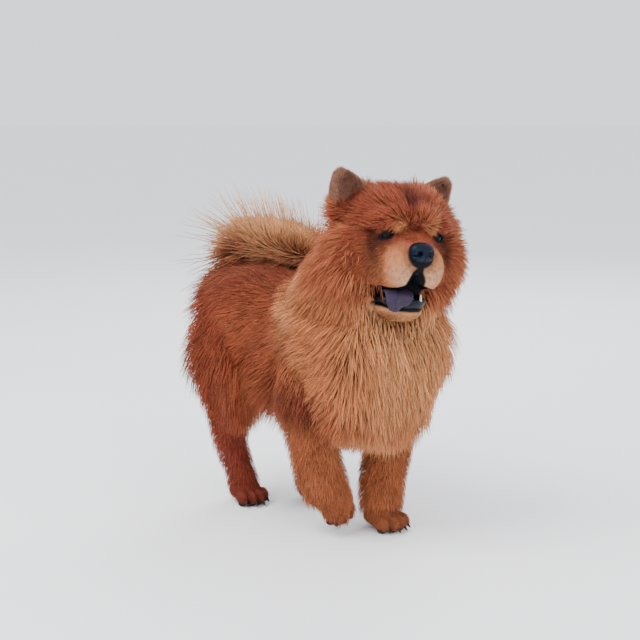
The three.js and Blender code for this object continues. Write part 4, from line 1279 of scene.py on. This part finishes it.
class CHOW_OT_mouth(Operator):
    """Makes the tongue, the lower lip and the teeth"""
    bl_idname = "chow.mouth"
    bl_label = "Mouth"

    def execute(self, context):
        # Tongue: its limb, with a groove along the top
        co, faces = TONGUE.shell(0, sides=40)
        t, angle, _ = TONGUE.measure(co)
        k = TONGUE.station(t)
        across = dot(co - TONGUE.centre[k], TONGUE.side[k])
        groove = 2.2 * np.exp(-(across / 2.4) ** 2) * (np.sin(angle) > 0) * ramp(t, 0.1, 0.3)
        co = co - TONGUE.up[k] * groove[:, None]
        wet = new_material("tongue_wet", flesh, *FLESH["tongue_wet"])
        tongue = put_mesh("tongue_blade", from_head(co), faces, wet)
        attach(tongue, "root")
        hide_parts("tongue")
        # Lower lip: a soft rim carried round the front of the jaw, thinner to its ends
        a = np.linspace(-1.9, 1.9, 80)
        height = -110 + 8 * (np.abs(a) / 1.9) ** 2 + 0.8 * np.sin(a * 9)
        path = np.stack([10 + 44 * np.cos(a), 43 * np.sin(a), height], 1)
        along = unit(np.gradient(path, axis=0))
        side = unit(np.cross(along, UP))
        thick = 7.0 * np.sqrt(np.clip(1 - (np.abs(a) / 1.93) ** 6, 0.02, 1))
        lip = close_grid(tube(path, side, np.cross(side, along), thick, 0.8, 1.1, 20), path[0], path[-1])
        wet = new_material("lip_skin_wet", flesh, *FLESH["lip_skin_wet"])
        lips = put_mesh("lower_lip", from_head(lip[0]), lip[1], wet)
        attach(lips, "root")
        # Teeth: two lower canines and six small incisors, cones that bend back
        teeth = []
        rows = [((49, 22, -107), 15, 3.0), ((49, -22, -107), 13, 3.0)]
        rows += [((53 - 0.06 * y * y, y, -107), 5.5, 1.7) for y in (-9, -5.4, -1.8, 1.8, 5.4, 9)]
        s = np.linspace(0, 0.93, 12)
        for (x, y, z), tall, wide in rows:
            middle = np.stack([x + 3 * s - 4 * s ** 2, y + 0 * s, z + tall * s], 1)
            rings = tube(middle, FRONT[None], LEFT[None], wide * np.sqrt(1 - s ** 2), 1, 0.85, 16)
            teeth.append(close_grid(rings, middle[0] - (0, 0, 2), middle[-1] + (-0.3, 0, 0.07 * tall)))
        co, faces = join(teeth)
        enamel = new_material("tooth_enamel", flesh, *FLESH["tooth_enamel"])
        teeth = put_mesh("teeth", from_head(co), faces, enamel)
        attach(teeth, "root")
        return {"FINISHED"}


class CHOW_OT_claws(Operator):
    """Makes the claws and the pads under the paws"""
    bl_idname = "chow.claws"
    bl_label = "Claws and pads"

    def execute(self, context):
        claws, pads = [], []
        s = np.linspace(0, 0.95, 14)
        for name in PAWS:
            size = PAWS[name][2]
            for y, lead in toes(name):
                # Claw: a cone of 10 mm along its way, with its fall growing as the square
                if name == BENT:
                    base, way, fall = (12 + 2 * lead, y, 12 - 7 * lead), (0.25, 0, -1.0), (-0.5, 0, 0)
                    place = (14, y, 9 - 5 * lead)
                else:
                    base, way, fall = ((40 + 10 * lead) * size, y, 12.0), (1.0, 0, -0.25), (0, 0, -0.5)
                    place = ((27 + 10 * lead) * size, y, 6)
                middle = base + 10 * (s[:, None] * way + (s ** 2)[:, None] * fall)
                along = unit(np.gradient(middle, axis=0))
                rings = tube(middle, LEFT[None], np.cross(along, LEFT), 3.2 * np.sqrt(1 - s ** 1.6), 0.8, 1, 14)
                claws.append(place_paw(name, close_grid(rings, middle[0], middle[-1] + along[-1] * 0.6), 0.3))
                pads.append(place_paw(name, egg(place, (9, 7.5, 5.5), around=20, along=12), 0.0))
            place = (-10, 0, 14) if name == BENT else (-4, 0, 7)
            pads.append(place_paw(name, egg(place, (14, 17, 7), around=28, along=14), 0.0))
        horn = new_material("claw_horn", flesh, *FLESH["claw_horn"])
        claw = put_mesh("claws", *join(claws), horn)
        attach(claw, "root")
        rough = new_material("pad_skin_rough", flesh, *FLESH["pad_skin_rough"])
        pad = put_mesh("paw_pads", *join(pads), rough)
        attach(pad, "root")
        return {"FINISHED"}


class CHOW_PT_panel(Panel):
    """Lists the pieces of the dog"""
    bl_idname = "CHOW_PT_panel"
    bl_label = "Chow chow"
    bl_space_type = "VIEW_3D"
    bl_region_type = "UI"
    bl_category = "Chow"

    def draw(self, context):
        for group in chow(context):
            for key in group.__annotations__:
                self.layout.prop(group, key)
        for operator in STEPS:
            self.layout.operator(operator.bl_idname)


STEPS = (CHOW_OT_stage, CHOW_OT_skin, CHOW_OT_coat, CHOW_OT_eyes, CHOW_OT_nose, CHOW_OT_mouth, CHOW_OT_claws)
CLASSES = (ChowColours, ChowSizes, *STEPS, CHOW_PT_panel)


def register():
    """Registers the classes and gives the scene its sizes and colours."""
    for item in CLASSES:
        bpy.utils.register_class(item)
    bpy.types.Scene.chow_sizes = PointerProperty(type=ChowSizes)
    bpy.types.Scene.chow_colours = PointerProperty(type=ChowColours)


def unregister():
    """Takes away what register gave."""
    del bpy.types.Scene.chow_sizes
    del bpy.types.Scene.chow_colours
    for item in reversed(CLASSES):
        bpy.utils.unregister_class(item)


def main():
    """Makes every piece in order."""
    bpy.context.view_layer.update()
    register()
    # The hide's undercoat is finer than the guard hair, and its relief of 1.2 mm reads as wool
    STORE["hair"] = new_material("guard_hair_keratin", hair)
    STORE["hide"] = new_material("undercoat_over_skin", hair, 0.0028, 0.0012)
    for operator in STEPS:
        group, name = operator.bl_idname.split(".")
        getattr(getattr(bpy.ops, group), name)()


if __name__ == "__main__":
    main()
